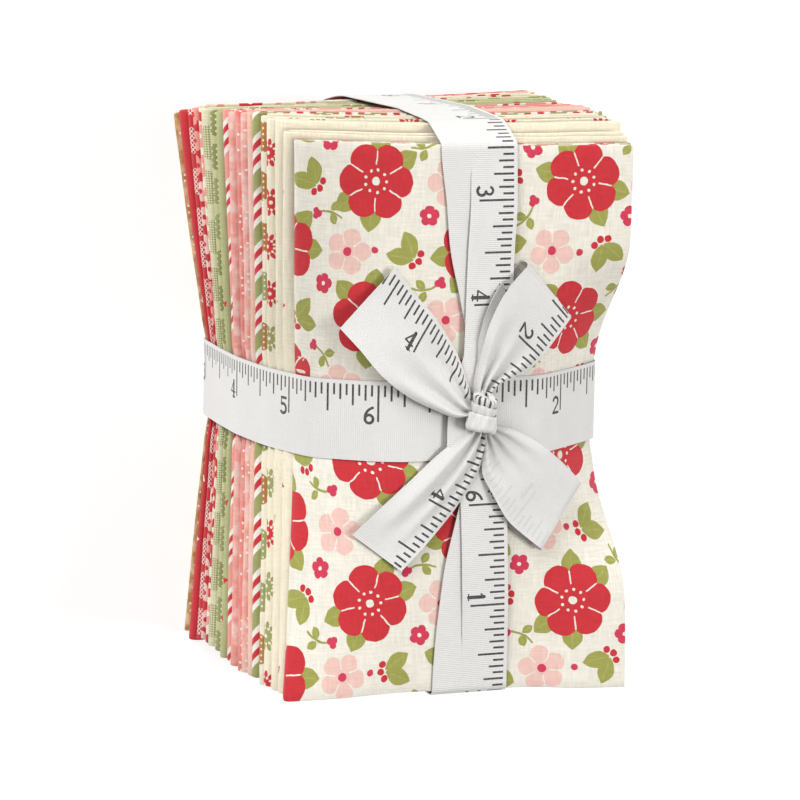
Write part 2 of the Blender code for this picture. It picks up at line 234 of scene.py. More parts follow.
def squeezed(points):
    """Where points of the even stack lie in the tied bundle, in millimetres."""
    across, along, height = points.T
    level = height / STACK_HEIGHT
    reach = HALF_LENGTH - WAIST_HALF
    out = np.clip((np.abs(along) - WAIST_HALF) / reach, 0, None)
    slow = np.clip(1 - out, 0, 1) ** PULL_FADE
    fast = 1 - smooth_step(np.abs(along), WAIST_HALF, RIGHT_FADE)
    right_side = smooth_step(across, *RIGHT_SIDE)
    tight = slow * (1 - right_side) + fast * right_side
    top = STACK_HEIGHT + (WAIST_HEIGHT - STACK_HEIGHT) * slow
    top = top - squeeze("top_drop", across) * tight - squeeze("end_drop", across) * out
    bottom = squeeze("bottom_rise", across) * tight
    inward = squeeze("top_in", across) * level + squeeze("bottom_in", across) * (1 - level)
    inward += squeeze("bulge", across) * 4 * level * (1 - level)
    dent = DENT * pressed(along)
    askew = (1 - level) * (1 - across / HALF_WIDTH) / 2
    at_sides = smooth_step(np.abs(across), *DENT_AT_SIDES)
    near_side = smooth_step(-along, *NEAR_SPREAD_ALONG)
    x = across + inward * tight - dent * np.sign(across) * at_sides
    x += askew * (LOWER_SHIFT + LOWER_LEAN * along / HALF_LENGTH)
    x += NEAR_SPREAD * near_side * smooth_step(across, *NEAR_SPREAD_ACROSS) * level
    y = along - np.sign(along) * squeeze("end_in", across) * out * level
    y += (LOWER_TURN * (1 - level) + UPPER_TURN * level) * across / HALF_WIDTH
    z = level * top + (1 - level) * bottom + groove(across, along, height)
    z += flutter(across, along, height) - dent * smooth_step(level, *DENT_AT_TOP)
    return np.stack((x + FOOTPRINT_SHIFT[0], y + FOOTPRINT_SHIFT[1], z), 1)


waist = squeezed(np.array([(across, 0, STACK_HEIGHT) for across in (-HALF_WIDTH, 0, HALF_WIDTH)]))
print("top of the waist, left, middle and right, in mm:", waist.round(1).tolist())

# %% [markdown]
# ## From flat cloth to folded packet
#
# A fat quarter is cut 457 by 559 mm. It is first folded in three along its length, like a letter,
# with the middle third outside, and then in half and in half again across. The first half fold
# makes the inner folds, and the second the round outer spine. Each grid point keeps its place on
# the flat cloth as its UV, and gets its place in the stack from two paths: one across the fold
# and one along it. The top packet has a finer grid, because on its sloping shoulders a coarse one
# lets the lower layers cut through the upper ones.

# %% Sizes of the cloth and of the folds
CLOTH = 0.2
PACKET_GAP = 0.35
PANELS, PLIES = 4, 3
FOLD_IN, INNER_FOLD_IN, INNER_EDGE_IN = 0.8, 0.5, 1.3
FIRST_THIRD_SHORT, LAST_THIRD_SHORT = 3, 4
SPINE_CUTS, FOLD_CUTS, TURN_CUTS = 12, 6, 4
# Cuts in one panel and in one third of the length.
PACKET_CUTS, TOP_PACKET_CUTS = (18, 26), (40, 56)


def arc(centre, radius, start, turn, cuts, stretch=1.0):
    """Points round a fold, in (across, height), with the outward side of the path there."""
    angles = np.radians(start + turn * np.linspace(0, 1, cuts + 1))
    circle = np.stack((np.cos(angles), np.sin(angles)), 1)
    points = np.array(centre) + circle * radius * (stretch, 1)
    return points, circle * (1 if turn > 0 else -1)


def straight(start, end, cuts, side=(0, 1)):
    """Even points from one place to another, with the outward side of the path there."""
    share = np.linspace(0, 1, cuts + 1)[:, None]
    points = np.array(start) * (1 - share) + np.array(end) * share
    return points, np.tile(side, (len(points), 1))


def joined(runs):
    """The points and sides of one path through runs that each start where the last one ends."""
    first, *rest = runs
    return [np.concatenate((first[i], *(run[i][1:] for run in rest))) for i in (0, 1)]


def across_path(base, thick, spine, edge, slack, cuts):
    """The path of the folded panels across a packet, from the top raw edge to the inner one."""
    step = (thick - PACKET_GAP) / PANELS
    heights = [base + PACKET_GAP / 2 + step * (i + 0.5) for i in range(PANELS)]
    low, inner_low, inner_high, high = heights
    ply = step / PLIES
    spine_radius = (PANELS - 1) / 2 * step
    spine_at = spine - HALF_WIDTH + spine_radius * slack + ply + CLOTH / 2
    fold_at, inner_fold_at = edge - FOLD_IN, spine_at + INNER_FOLD_IN
    points, sides = joined((
        straight((edge, high), (spine_at, high), cuts),
        arc((spine_at, (low + high) / 2), spine_radius, 90, 180, SPINE_CUTS, slack),
        straight((spine_at, low), (fold_at, low), cuts, (0, -1)),
        arc((fold_at, (low + inner_low) / 2), step / 2, -90, 180, FOLD_CUTS),
        straight((fold_at, inner_low), (inner_fold_at, inner_low), cuts),
        arc((inner_fold_at, (inner_low + inner_high) / 2), step / 2, -90, -180, FOLD_CUTS),
        straight((inner_fold_at, inner_high), (edge - INNER_EDGE_IN, inner_high), cuts, (0, -1)),
    ))
    return points, sides, ply


def along_path(far, near, ply, cuts):
    """The letter fold along a packet: places along it and how far out each ply lies."""
    far_end, near_end = HALF_LENGTH + far - ply, -HALF_LENGTH - near + ply / 2
    points, _ = joined((
        straight((far_end - FIRST_THIRD_SHORT, 0), (near_end, 0), cuts),
        arc((near_end, ply / 2), ply / 2, -90, -180, TURN_CUTS),
        straight((near_end, ply), (far_end, ply), cuts),
        arc((far_end, 0), ply, 90, -180, TURN_CUTS),
        straight((far_end, -ply), (near_end + LAST_THIRD_SHORT, -ply), cuts),
    ))
    return points


# %% [markdown]
# ### A cloth mesh
#
# Blender's own grid has one face for each cell of the cloth, with UVs, and only needs its points
# moved. Solidify gives the cloth its thickness while the layers are still even, and puts the
# reverse's material on its back and its cut edges. The squeeze comes last and bends both faces.

# %% From points to a mesh
def run_length(points):
    """The distance along a path at each of its points."""
    steps = np.linalg.norm(np.diff(points, axis=0), axis=1)
    return np.concatenate(((0,), np.cumsum(steps)))


def cloth_grid(name, places, flat):
    """A mesh of a flat grid, moved to its places in mm, with its flat sizes in metres as UVs."""
    rows, columns = places.shape[:2]
    bpy.ops.object.select_all(action="DESELECT")
    bpy.ops.mesh.primitive_grid_add(x_subdivisions=columns - 1, y_subdivisions=rows - 1, size=1)
    piece = bpy.context.object
    piece.name = piece.data.name = name
    piece.data.vertices.foreach_set("co", (places.reshape(-1, 3) * MM).astype("f").ravel())
    corner_points = np.empty(len(piece.data.loops), "i")
    piece.data.loops.foreach_get("vertex_index", corner_points)
    uvs = (flat.reshape(-1, 2) * MM)[corner_points]
    piece.data.uv_layers.active.data.foreach_set("uv", uvs.astype("f").ravel())
    piece.data.update()
    return piece


def thicken(piece, thickness):
    """Gives a sheet its thickness. Its second material goes on its reverse."""
    solid = piece.modifiers.new("thickness", "SOLIDIFY")
    solid.thickness = thickness * MM
    solid.offset = 0
    solid.material_offset = 1
    solid.material_offset_rim = 1
    bpy.context.view_layer.objects.active = piece
    bpy.ops.object.modifier_apply(modifier=solid.name)


def moved_by(piece, mover):
    """Moves every point of a piece by a function of its place in mm, and gives the new places."""
    points = np.empty(len(piece.data.vertices) * 3, "f")
    piece.data.vertices.foreach_get("co", points)
    points = mover(points.reshape(-1, 3).astype(float) / MM) * MM
    piece.data.vertices.foreach_set("co", points.astype("f").ravel())
    piece.data.update()
    return points / MM


def shade_smooth(piece, sharpest):
    """Shades a piece smooth, apart from edges that turn by more than this many degrees."""
    bpy.ops.object.select_all(action="DESELECT")
    piece.select_set(True)
    bpy.ops.object.shade_smooth_by_angle(angle=math.radians(sharpest))


def stand_for(piece, node):
    """Hides the node that a piece stands for, and gives the piece its body."""
    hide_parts(node)
    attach(piece, "root")


# %% [markdown]
# ## Printed cotton
#
# Every print is worked out from the flat sizes of the cloth, so no picture is needed. Shader
# arithmetic is easier to read as formulas, so a small class turns `+`, `*` and the like into Math
# nodes. A motif is a number that is 1 on the motif and 0 beside it, and `paint` lays one colour
# over the others by it.

# %% Arithmetic in a material
class Quantity:
    """A number that a material works out at each point. Arithmetic on it adds Math nodes."""

    def __init__(self, tree, socket):
        self.tree, self.socket = tree, socket

    def by(self, operation, *others):
        node = self.tree.nodes.new("ShaderNodeMath")
        node.operation = operation
        for slot, value in zip(node.inputs, (self, *others)):
            if isinstance(value, Quantity):
                self.tree.links.new(value.socket, slot)
            else:
                slot.default_value = value
        return Quantity(self.tree, node.outputs[0])

    def __rsub__(self, other):
        return self.by("MULTIPLY", -1).by("ADD", other)


# Each method and the Math operation that it adds. part is what is left over after whole periods,
# and both and either join two motifs.
METHODS = {
    "__add__": "ADD", "__radd__": "ADD", "__sub__": "SUBTRACT", "__mul__": "MULTIPLY",
    "__truediv__": "DIVIDE", "__lt__": "LESS_THAN", "__gt__": "GREATER_THAN",
    "__abs__": "ABSOLUTE", "whole": "FLOOR", "part": "FLOORED_MODULO", "sine": "SINE",
    "cosine": "COSINE", "power": "POWER", "at_most": "MINIMUM", "either": "MAXIMUM",
    "both": "MULTIPLY",
}


def method_for(operation):
    return lambda self, *others: self.by(operation, *others)


for method_name, math_operation in METHODS.items():
    setattr(Quantity, method_name, method_for(math_operation))


def length_of(x, y):
    return (x * x + y * y).by("SQRT")


def angle_of(x, y):
    return y.by("ARCTAN2", x)


print("kinds of arithmetic:", len(METHODS))

# %% Places, chance, clouds and paint
def flat_place(tree):
    """Where a point lies on the flat cloth, in mm."""
    uv = tree.nodes.new("ShaderNodeUVMap")
    apart = tree.nodes.new("ShaderNodeSeparateXYZ")
    tree.links.new(uv.outputs["UV"], apart.inputs[0])
    return [Quantity(tree, apart.outputs[i]) / MM for i in (0, 1)]


def as_vector(x, y, third):
    together = x.tree.nodes.new("ShaderNodeCombineXYZ")
    x.tree.links.new(x.socket, together.inputs[0])
    x.tree.links.new(y.socket, together.inputs[1])
    together.inputs[2].default_value = third
    return together.outputs[0]


def chance_in(x, y, seed):
    """Three random numbers for each whole x and y."""
    noise = x.tree.nodes.new("ShaderNodeTexWhiteNoise")
    x.tree.links.new(as_vector(x, y, seed), noise.inputs["Vector"])
    apart = x.tree.nodes.new("ShaderNodeSeparateXYZ")
    x.tree.links.new(noise.outputs["Color"], apart.inputs[0])
    return [Quantity(x.tree, socket) for socket in apart.outputs]


def cloud(x, y, size, detail=2.0, seed=0.0):
    """Smooth noise between 0 and 1 with blotches of about this size in mm."""
    noise = x.tree.nodes.new("ShaderNodeTexNoise")
    noise.inputs["Scale"].default_value = 1
    noise.inputs["Detail"].default_value = detail
    x.tree.links.new(as_vector(x / size, y / size, seed), noise.inputs["Vector"])
    return Quantity(x.tree, noise.outputs["Factor" if "Factor" in noise.outputs else "Fac"])


def paint(under, mask, colour):
    """One colour laid over another where the mask is 1."""
    mix = mask.tree.nodes.new("ShaderNodeMix")
    mix.data_type = "RGBA"
    mask.tree.links.new(mask.socket, mix.inputs[0])
    for slot, value in ((mix.inputs[6], under), (mix.inputs[7], colour)):
        if isinstance(value, tuple):
            slot.default_value = (*value, 1)
        else:
            mask.tree.links.new(value, slot)
    return mix.outputs[2]


# %% [markdown]
# ### Motifs
#
# Motifs sit on a half-drop lattice, as on most printed cotton: every second column is moved by
# half a repeat. Inside its cell each motif is turned and nudged by its cell's random numbers.

# %% Lattice
def rotated(x, y, angle):
    cosine, sine = angle.cosine(), angle.sine()
    return x * cosine - y * sine, x * sine + y * cosine


def lattice(x, y, repeat, offset=(0, 0), nudge=0.0, seed=1.0, turned=True):
    """Places in mm from each cell's own centre, turned, and the cell's random numbers."""
    wide, high = repeat
    x, y = x - offset[0], y - offset[1]
    column = (x / wide).whole()
    y = y + column.part(2) * (high / 2)
    row = (y / high).whole()
    chance = chance_in(column, row, seed)
    x = x - (column + 0.5) * wide + (chance[0] - 0.5) * (2 * nudge)
    y = y - (row + 0.5) * high + (chance[1] - 0.5) * (2 * nudge)
    if turned:
        x, y = rotated(x, y, chance[2] * (2 * math.pi))
    return x, y, chance


# %% Shapes
def disc(x, y, radius):
    return length_of(x, y) < radius


def bloom(x, y, petals, radius, depth, roundness=0.6):
    """A flower head. depth is how deep the gaps between its petals are cut."""
    wave = abs((angle_of(x, y) * (petals / 2)).cosine()).power(roundness)
    return length_of(x, y) < (wave * depth + (1 - depth)) * radius


def petal_gaps(x, y, petals, half_width, start, end):
    """Thin lines between the petals of a bloom, over this stretch of its radius."""
    out = length_of(x, y)
    gap = abs((angle_of(x, y) * (petals / 2)).cosine()) * out * (2 / petals)
    return (gap < half_width).both(out > start).both(out < end)


def ring_of_dots(x, y, dots, radius, dot_radius):
    turn = angle_of(x, y) / (2 * math.pi) * dots + dots
    round_ring = (turn.part(1) - 0.5) * (2 * math.pi * radius / dots)
    return disc(round_ring, length_of(x, y) - radius, dot_radius)


def leaf(x, y, start, end, width):
    """A pointed leaf along x."""
    middle, half = (start + end) / 2, (end - start) / 2
    along = (x - middle) / half
    return abs(y) < (1 - along * along) * width


def stem(x, y, half_length, bend, width):
    """A curved stem along x."""
    return (abs(y - x * x * bend) < width).both(abs(x) < half_length)


def stripes(along, period, start, width):
    return (along - start).part(period) < width


# %% [markdown]
# ### The cloth under the print
#
# Quilting cotton is a fine plain weave. Its threads show as a faint grid in colour and in relief,
# and its nap as a slight sheen. The reverse of printed cotton is much paler, because the ink
# hardly comes through, so each cloth is two materials: the printed face, and the reverse, which
# also shows on its cut edges. An Ambient Occlusion node darkens the colour in the narrow gaps
# between folds, as painted shade, so that they look deeper than the lamps alone make them.

# %% Cotton materials
THREAD_PITCH = 0.6
THREAD_RELIEF, RELIEF_STRENGTH = 0.00006, 0.8
THREAD_SHADE, THREAD_UNEVEN = 0.16, 0.34
SLUB_WIDTH, SLUB_STRETCH = 0.5, 0.08
BLOTCH_SIZE, BLOTCH_SHADE = 9.0, 0.07
FUZZ_SIZE, FUZZ_DETAIL, FUZZ_RELIEF = 0.9, 3.0, 1.5
# Painted shade in narrow gaps: how far the Ambient Occlusion looks, how dark it makes the colour, and
# its samples.
GAP_REACH = 0.003
PAINTED_GAP_SHADE = 0.4
GAP_SAMPLES = 4
ROUGHNESS, SPECULAR, SHEEN, SHEEN_ROUGHNESS = 0.92, 0.2, 0.15, 0.5


def weave(x, y):
    """The relief of a plain weave, between -1 and 1."""
    turn = 2 * math.pi / THREAD_PITCH
    return (x * turn).sine() * (y * turn).sine()


def cotton_tone(x, y, threads, shade, uneven):
    """How light the cloth's colour is, with painted shade in the narrow gaps between folds. shade is
    how dark the gaps between threads are, and uneven how much one thread differs from the next."""
    tone = 1 - shade / 2 + threads * (shade / 2) + (cloud(x, y, BLOTCH_SIZE) - 0.5) * BLOTCH_SHADE
    slubs_one_way = cloud(x, y * SLUB_STRETCH, SLUB_WIDTH)
    slubs_other_way = cloud(x * SLUB_STRETCH, y, SLUB_WIDTH)
    tone = tone + (slubs_one_way + slubs_other_way - 1) * uneven
    # Painted shade: Ambient Occlusion darkens the colour in narrow gaps and creases between folds.
    gaps = x.tree.nodes.new("ShaderNodeAmbientOcclusion")
    gaps.samples = GAP_SAMPLES
    gaps.inputs["Distance"].default_value = GAP_REACH
    return tone * (Quantity(x.tree, gaps.outputs["AO"]) * PAINTED_GAP_SHADE + (1 - PAINTED_GAP_SHADE))


def cotton_material(name, colour, relief, shade=THREAD_SHADE, uneven=THREAD_UNEVEN):
    """A cotton finish. colour makes the printed colour from the flat place in mm."""
    material = bpy.data.materials.new(name)
    material.use_nodes = True
    tree = material.node_tree
    shader = tree.nodes["Principled BSDF"]
    x, y = flat_place(tree)
    printed = colour(x, y)
    if isinstance(printed, tuple):
        printed = paint(printed, x * 0, printed)
    threads = relief(x, y)
    tinted = tree.nodes.new("ShaderNodeVectorMath")
    tinted.operation = "SCALE"
    tree.links.new(printed, tinted.inputs[0])
    tree.links.new(cotton_tone(x, y, threads, shade, uneven).socket, tinted.inputs["Scale"])
    tree.links.new(tinted.outputs[0], shader.inputs["Base Color"])
    bump = tree.nodes.new("ShaderNodeBump")
    bump.inputs["Distance"].default_value = THREAD_RELIEF
    bump.inputs["Strength"].default_value = RELIEF_STRENGTH
    height = threads + cloud(x, y, FUZZ_SIZE, FUZZ_DETAIL) * FUZZ_RELIEF
    tree.links.new(height.socket, bump.inputs["Height"])
    tree.links.new(bump.outputs[0], shader.inputs["Normal"])
    shader.inputs["Roughness"].default_value = ROUGHNESS
    shader.inputs["Specular IOR Level"].default_value = SPECULAR
    shader.inputs["Sheen Weight"].default_value = SHEEN
    shader.inputs["Sheen Roughness"].default_value = SHEEN_ROUGHNESS
    return material


# %% Colours
CARAMEL = (0.45, 0.19, 0.05)
TAN = (0.72, 0.52, 0.30)
RED = (0.62, 0.036, 0.046)
ROSE = (0.66, 0.05, 0.10)
PINK = (0.84, 0.34, 0.29)
PALE_PINK = (0.88, 0.58, 0.51)
CORAL = (0.78, 0.20, 0.17)
PEACH = (0.86, 0.52, 0.38)
OLIVE = (0.37, 0.37, 0.09)
MIDRIB_GREEN = (0.42, 0.45, 0.14)
LEAF_GREEN = (0.34, 0.36, 0.13)
PALE_GREEN = (0.66, 0.63, 0.37)
CHECK_GROUND = (0.74, 0.70, 0.48)
OVAL_GROUND = (0.58, 0.56, 0.30)
OVAL_GREENS = ((0.27, 0.29, 0.09), (0.32, 0.34, 0.13))
SAGE = (0.47, 0.48, 0.24)
CREAM = (0.88, 0.80, 0.62)
TOP_GROUND = (0.87, 0.83, 0.72)
WHITE = (0.88, 0.84, 0.76)
REVERSE_PALENESS = 0.55


def plain(colour):
    return lambda x, y: colour


def paler(colour):
    """The colour of the reverse of a cloth that is printed in this colour."""
    return tuple(part + (pale - part) * REVERSE_PALENESS for part, pale in zip(colour, CREAM))


print("the red's reverse:", [round(part, 2) for part in paler(RED)])

# %% [markdown]
# ### Small prints for the spines
#
# Only the spines and the ends of most packets show, so each small print is set out from the line
# on the flat cloth that comes to lie along the spine. Each function here takes the colours and
# sizes of one print and gives back a function of the flat place.

# %% Flecks, mottles and stripes
SPINE_AT = 113.5
FLECK_NUDGE, FLECK_SLOPE = 0.15, 0.6
MOTTLE_DETAIL, MOTTLE_FROM, MOTTLE_CONTRAST = 3.0, 0.42, 5
SPECK_PITCH, SPECK_RADIUS, SPECK_NUDGE, SPECK_SHARE = 2.6, 0.42, 0.5, 0.6


def on_spine(x, y, pitch, nudge, turned=True):
    """A lattice of square cells with one column of them along the spine."""
    return lattice(x - SPINE_AT, y, (pitch, pitch), (-pitch / 2, 0), nudge, turned=turned)


def flecked(ground, fleck, pitch, size, share):
    """Small turned triangles on some of the cells."""
    def colour(x, y):
        a, b, chance = on_spine(x, y, pitch, pitch * FLECK_NUDGE)
        triangle = (b > -size / 2).both(abs(a) < (size / 2 - b) * FLECK_SLOPE)
        return paint(ground, triangle.both(chance[0] < share), fleck)
    return colour


def mottled(ground, blotch, size, speck=None):
    """Soft blotches, with small dots over them where a colour for the dots is given."""
    def colour(x, y):
        patches = (cloud(x, y, size, MOTTLE_DETAIL) - MOTTLE_FROM) * MOTTLE_CONTRAST
        mixed = paint(ground, patches.at_most(1).either(0), blotch)
        if speck:
            a, b, chance = lattice(x, y, (SPECK_PITCH, SPECK_PITCH), nudge=SPECK_NUDGE)
            mixed = paint(mixed, disc(a, b, SPECK_RADIUS).both(chance[2] < SPECK_SHARE), speck)
        return mixed
    return colour


def slanted(ground, bands, period, slant):
    """Slanting stripes. bands are start, width and colour."""
    def colour(x, y):
        along = y + (x - SPINE_AT) * slant
        mixed = ground
        for start, width, shade in bands:
            mixed = paint(mixed, stripes(along, period, start, width), shade)
        return mixed
    return colour


# %% Discs, ovals, bursts and blooms
OVAL_CELL, OVAL_NUDGE = 1.4, 0.6
OVAL_DOT_PITCH, OVAL_DOT_RADIUS = 1.9, 0.36
CHECK_SQUARE, CHECK_NARROWING, CHECK_NUDGE = 0.8, 0.8, 1.0
NET_MESH, NET_HALF_LINE, NET_NUDGE = 1.5, 0.2, 1.5
BURST_RAYS, BURST_DEPTH, BURST_ROUNDNESS, BURST_NUDGE = 12, 0.5, 0.8, 0.8
# Shares of the burst's radius.
BURST_HOLE, BURST_RING, BURST_DOT = 0.14, 0.52, 0.09
BLOOM_PETALS, BLOOM_DEPTH, BLOOM_NUDGE, BLOOM_EYE = 5, 0.4, 1.0, 0.25


def in_two_shades(ground, motif, shades, chance):
    """A motif in one of two colours, by its cell's chance."""
    mixed = paint(ground, motif, shades[0])
    return paint(mixed, motif.both(chance[2] < 0.5), shades[1])


def ovals(ground, shades, dot, pitch, half_width, half_length):
    """Ovals in two colours, filled with small dots, one under the other along the spine."""
    def colour(x, y):
        cell, offset = (pitch * OVAL_CELL, pitch), (-pitch * OVAL_CELL / 2, 0)
        a, b, chance = lattice(x - SPINE_AT, y, cell, offset, OVAL_NUDGE, turned=False)
        inside = disc(a / half_width, b / half_length, 1)
        mixed = in_two_shades(ground, inside, shades, chance)
        a, b, _ = lattice(x, y, (OVAL_DOT_PITCH, OVAL_DOT_PITCH), turned=False)
        return paint(mixed, inside.both(disc(a, b, OVAL_DOT_RADIUS)), dot)
    return colour


def check_discs(ground, check, pitch, radius):
    """Round patches of fine checks, set on edge."""
    def colour(x, y):
        a, b, _ = on_spine(x, y, pitch, CHECK_NUDGE, turned=False)
        one_way, other_way = ((way / CHECK_SQUARE).whole() for way in (x + y, x - y))
        squares = (one_way + other_way).part(2) > 0.5
        return paint(ground, disc(a / CHECK_NARROWING, b, radius).both(squares), check)
    return colour


def netted_discs(ground, line, pitch, radius):
    """Round patches of a fine net."""
    def colour(x, y):
        a, b, _ = on_spine(x, y, pitch, NET_NUDGE, turned=False)
        one_way, other_way = (
            abs(way.part(NET_MESH) - NET_MESH / 2) < NET_HALF_LINE for way in (x + y, x - y)
        )
        return paint(ground, disc(a, b, radius).both(one_way.either(other_way)), line)
    return colour


def starbursts(ground, shades, pitch, radius):
    """Bursts of narrow rays with a ring of dots in each, in two colours."""
    def colour(x, y):
        a, b, chance = on_spine(x, y, pitch, BURST_NUDGE)
        star = bloom(a, b, BURST_RAYS, radius, BURST_DEPTH, BURST_ROUNDNESS)
        star = star.both(length_of(a, b) > radius * BURST_HOLE)
        dots = ring_of_dots(a, b, BURST_RAYS, radius * BURST_RING, radius * BURST_DOT)
        return in_two_shades(ground, star.both(1 - dots), shades, chance)
    return colour


def scattered_blooms(ground, shades, pitch, radius):
    """Small five-petal blooms in two colours."""
    def colour(x, y):
        a, b, chance = on_spine(x, y, pitch, BLOOM_NUDGE)
        flower = bloom(a, b, BLOOM_PETALS, radius, BLOOM_DEPTH)
        mixed = in_two_shades(ground, flower, shades, chance)
        return paint(mixed, disc(a, b, radius * BLOOM_EYE), ground)
    return colour


# %% [markdown]
# ### The print of the top packet
#
# This is the one print that shows whole: round garden blooms on leaves, pale five-petal blooms,
# berries, small blooms and sprigs, each clear of the others. A motif is a function that paints
# over what is there already, and one table says where each sits in the repeat. The flat place is
# first shaken a little by two clouds, so that no outline is drawn with a ruler.

# %% Motifs of the top print
MIDRIB_HALF = 0.16
LEAF_START = 0.6


def leaf_pair(mixed, x, y, length, width, spread, start=LEAF_START):
    """Two leaves and their midribs, from one point. spread is each one's angle from x."""
    for side in (-1, 1):
        u, v = rotated(x, y, x * 0 + side * spread)
        mixed = paint(mixed, leaf(u, v, start, length, width), OLIVE)
        middle, half = (start + length) / 2, (length - start) / 3
        mixed = paint(mixed, stem(u - middle, v, half, 0.0, MIDRIB_HALF), MIDRIB_GREEN)
    return mixed


def garden_bloom(mixed, x, y):
    for u, v in ((x, y), (0 - x, 0 - y)):
        mixed = leaf_pair(mixed, u, v, length=16.4, width=3.3, spread=0.42, start=7.0)
    mixed = paint(mixed, bloom(x, y, petals=6, radius=12.4, depth=0.26, roundness=0.5), RED)
    gaps = petal_gaps(x, y, petals=6, half_width=0.24, start=5.2, end=9.7)
    mixed = paint(mixed, gaps, TOP_GROUND)
    mixed = paint(mixed, ring_of_dots(x, y, dots=9, radius=3.6, dot_radius=0.5), TOP_GROUND)
    return paint(mixed, disc(x, y, radius=1.3), TOP_GROUND)


def pale_bloom(mixed, x, y):
    mixed = paint(mixed, bloom(x, y, petals=5, radius=7.6, depth=0.4), PALE_PINK)
    gaps = petal_gaps(x, y, petals=5, half_width=0.22, start=2.4, end=7.6)
    mixed = paint(mixed, gaps, TOP_GROUND)
    return paint(mixed, disc(x, y, radius=1.4), ROSE)


def berry_spray(mixed, x, y):
    mixed = leaf_pair(mixed, x + 4.0, y, length=9.8, width=2.8, spread=0.5)
    for side in (-2.2, 0.2, 2.6):
        berry = disc(x + 5.2 - abs(side) * 0.4, y - side, radius=1.15)
        mixed = paint(mixed, berry, RED)
    return mixed


def small_bloom(mixed, x, y):
    mixed = paint(mixed, bloom(x, y, petals=5, radius=3.4, depth=0.3, roundness=0.5), ROSE)
    return paint(mixed, disc(x, y, radius=0.7), TOP_GROUND)


def sprig(mixed, x, y):
    mixed = paint(mixed, stem(x, y, half_length=5.4, bend=0.05, width=0.35), OLIVE)
    mixed = leaf_pair(mixed, x - 0.5, y, length=4.6, width=1.4, spread=0.9)
    return paint(mixed, bloom(x + 4.6, y - 1.2, petals=3, radius=2.0, depth=0.4), ROSE)


def single_berry(mixed, x, y):
    return paint(mixed, disc(x, y, radius=1.1), ROSE)


# %% The top print
REPEAT = (34.0, 45.0)
SHAKE, SHAKE_SIZE, SHAKE_DETAIL, SHAKE_SEEDS = 0.7, 3.0, 1.0, (5.0, 9.0)
# Motif, place in the repeat and nudge in mm, and seed.
TOP_MOTIFS = (
    (garden_bloom, (0, 0), 0.8, 13.0),
    (pale_bloom, (9.7, 22.5), 0.8, 11.0),
    (berry_spray, (-9.2, 22.5), 0.8, 19.0),
    (small_bloom, (17.0, 11.2), 0.8, 7.0),
    (sprig, (17.0, -11.2), 0.8, 17.0),
    (single_berry, (0, 22.5), 0.3, 3.0),
)


def floral(x, y):
    x = x + (cloud(x, y, SHAKE_SIZE, SHAKE_DETAIL, SHAKE_SEEDS[0]) - 0.5) * SHAKE
    y = y + (cloud(x, y, SHAKE_SIZE, SHAKE_DETAIL, SHAKE_SEEDS[1]) - 0.5) * SHAKE
    mixed = TOP_GROUND
    for motif, offset, nudge, seed in TOP_MOTIFS:
        a, b, _ = lattice(x, y, REPEAT, offset, nudge, seed)
        mixed = motif(mixed, a, b)
    return mixed


print("motifs in one repeat of the top print:", len(TOP_MOTIFS))

# %% The nineteen prints
# Each cloth's print, and the main colour that its reverse is made from. Sizes are in mm.
CANDY_BANDS = ((0, 2.2, RED), (4.4, 2.2, RED), (8.6, 8.4, PINK))
GREEN_BANDS = ((0, 6.0, LEAF_GREEN), (8.2, 2.4, RED), (13.0, 2.4, RED))
PRINTS = {
    "tan_dot_cotton": (mottled(CARAMEL, TAN, 6.0, CREAM), CARAMEL),
    "deep_red_cotton": (flecked(RED, WHITE, 20.0, 2.2, 0.3), RED),
    "red_fleck_cotton": (netted_discs(RED, WHITE, 12.5, 4.6), RED),
    "red_dot_cotton": (scattered_blooms(RED, (PALE_PINK, PINK), 8.5, 3.4), RED),
    "red_cream_cotton": (scattered_blooms(CREAM, (RED, PINK), 10.0, 4.0), PALE_PINK),
    "green_check_cotton": (check_discs(CHECK_GROUND, LEAF_GREEN, 16.0, 5.6), PALE_GREEN),
    "green_dot_oval_cotton": (ovals(OVAL_GROUND, OVAL_GREENS, CREAM, 11.5, 3.6, 4.2), PALE_GREEN),
    "sage_cotton": (flecked(SAGE, RED, 13.0, 2.0, 0.35), SAGE),
    "candy_stripe_cotton": (slanted(WHITE, CANDY_BANDS, 19.2, 1.1), PINK),
    "pink_mottle_cotton": (mottled(PINK, PALE_PINK, 4.5), PINK),
    "coral_dot_cotton": (mottled(PINK, CORAL, 7.0, WHITE), PINK),
    "light_pink_cotton": (mottled(PALE_PINK, PINK, 5.0, WHITE), PALE_PINK),
    "peach_cotton": (mottled(PEACH, PALE_PINK, 22.0), PEACH),
    "green_red_stripe_cotton": (slanted(WHITE, GREEN_BANDS, 17.6, 1.1), SAGE),
    "cream_oval_cotton": (ovals(CREAM, (CARAMEL, LEAF_GREEN), CREAM, 16.5, 3.4, 4.8), CREAM),
    "cream_snowflake_cotton": (starbursts(CREAM, (RED, LEAF_GREEN), 15.5, 4.6), CREAM),
    "cream_plain_cotton": (flecked(CREAM, PALE_GREEN, 24.0, 2.6, 0.4), CREAM),
    "cream_fleck_cotton": (flecked(CREAM, RED, 19.0, 2.2, 0.5), CREAM),
    "floral_cotton": (floral, TOP_GROUND),
}


def cotton(name):
    """The printed face and the reverse of one cloth."""
    colour, main_colour = PRINTS[name]
    face = cotton_material(name, colour, weave)
    reverse = cotton_material(name + "_reverse", plain(paler(main_colour)), weave)
    return face, reverse


print("prints:", len(PRINTS))

# %% [markdown]
# ### The nineteen packets
#
# One row describes each packet from the bottom up: how thick it lies, where its spine and raw
# edges end, how far its two ends reach past the even stack, and how round its spine is. Hand
# folding is never exact, so slow waves move every spine, edge and end a little, each from its own
# seeded numbers. The top packet was laid more carefully, and the ribbon draws its spine in.

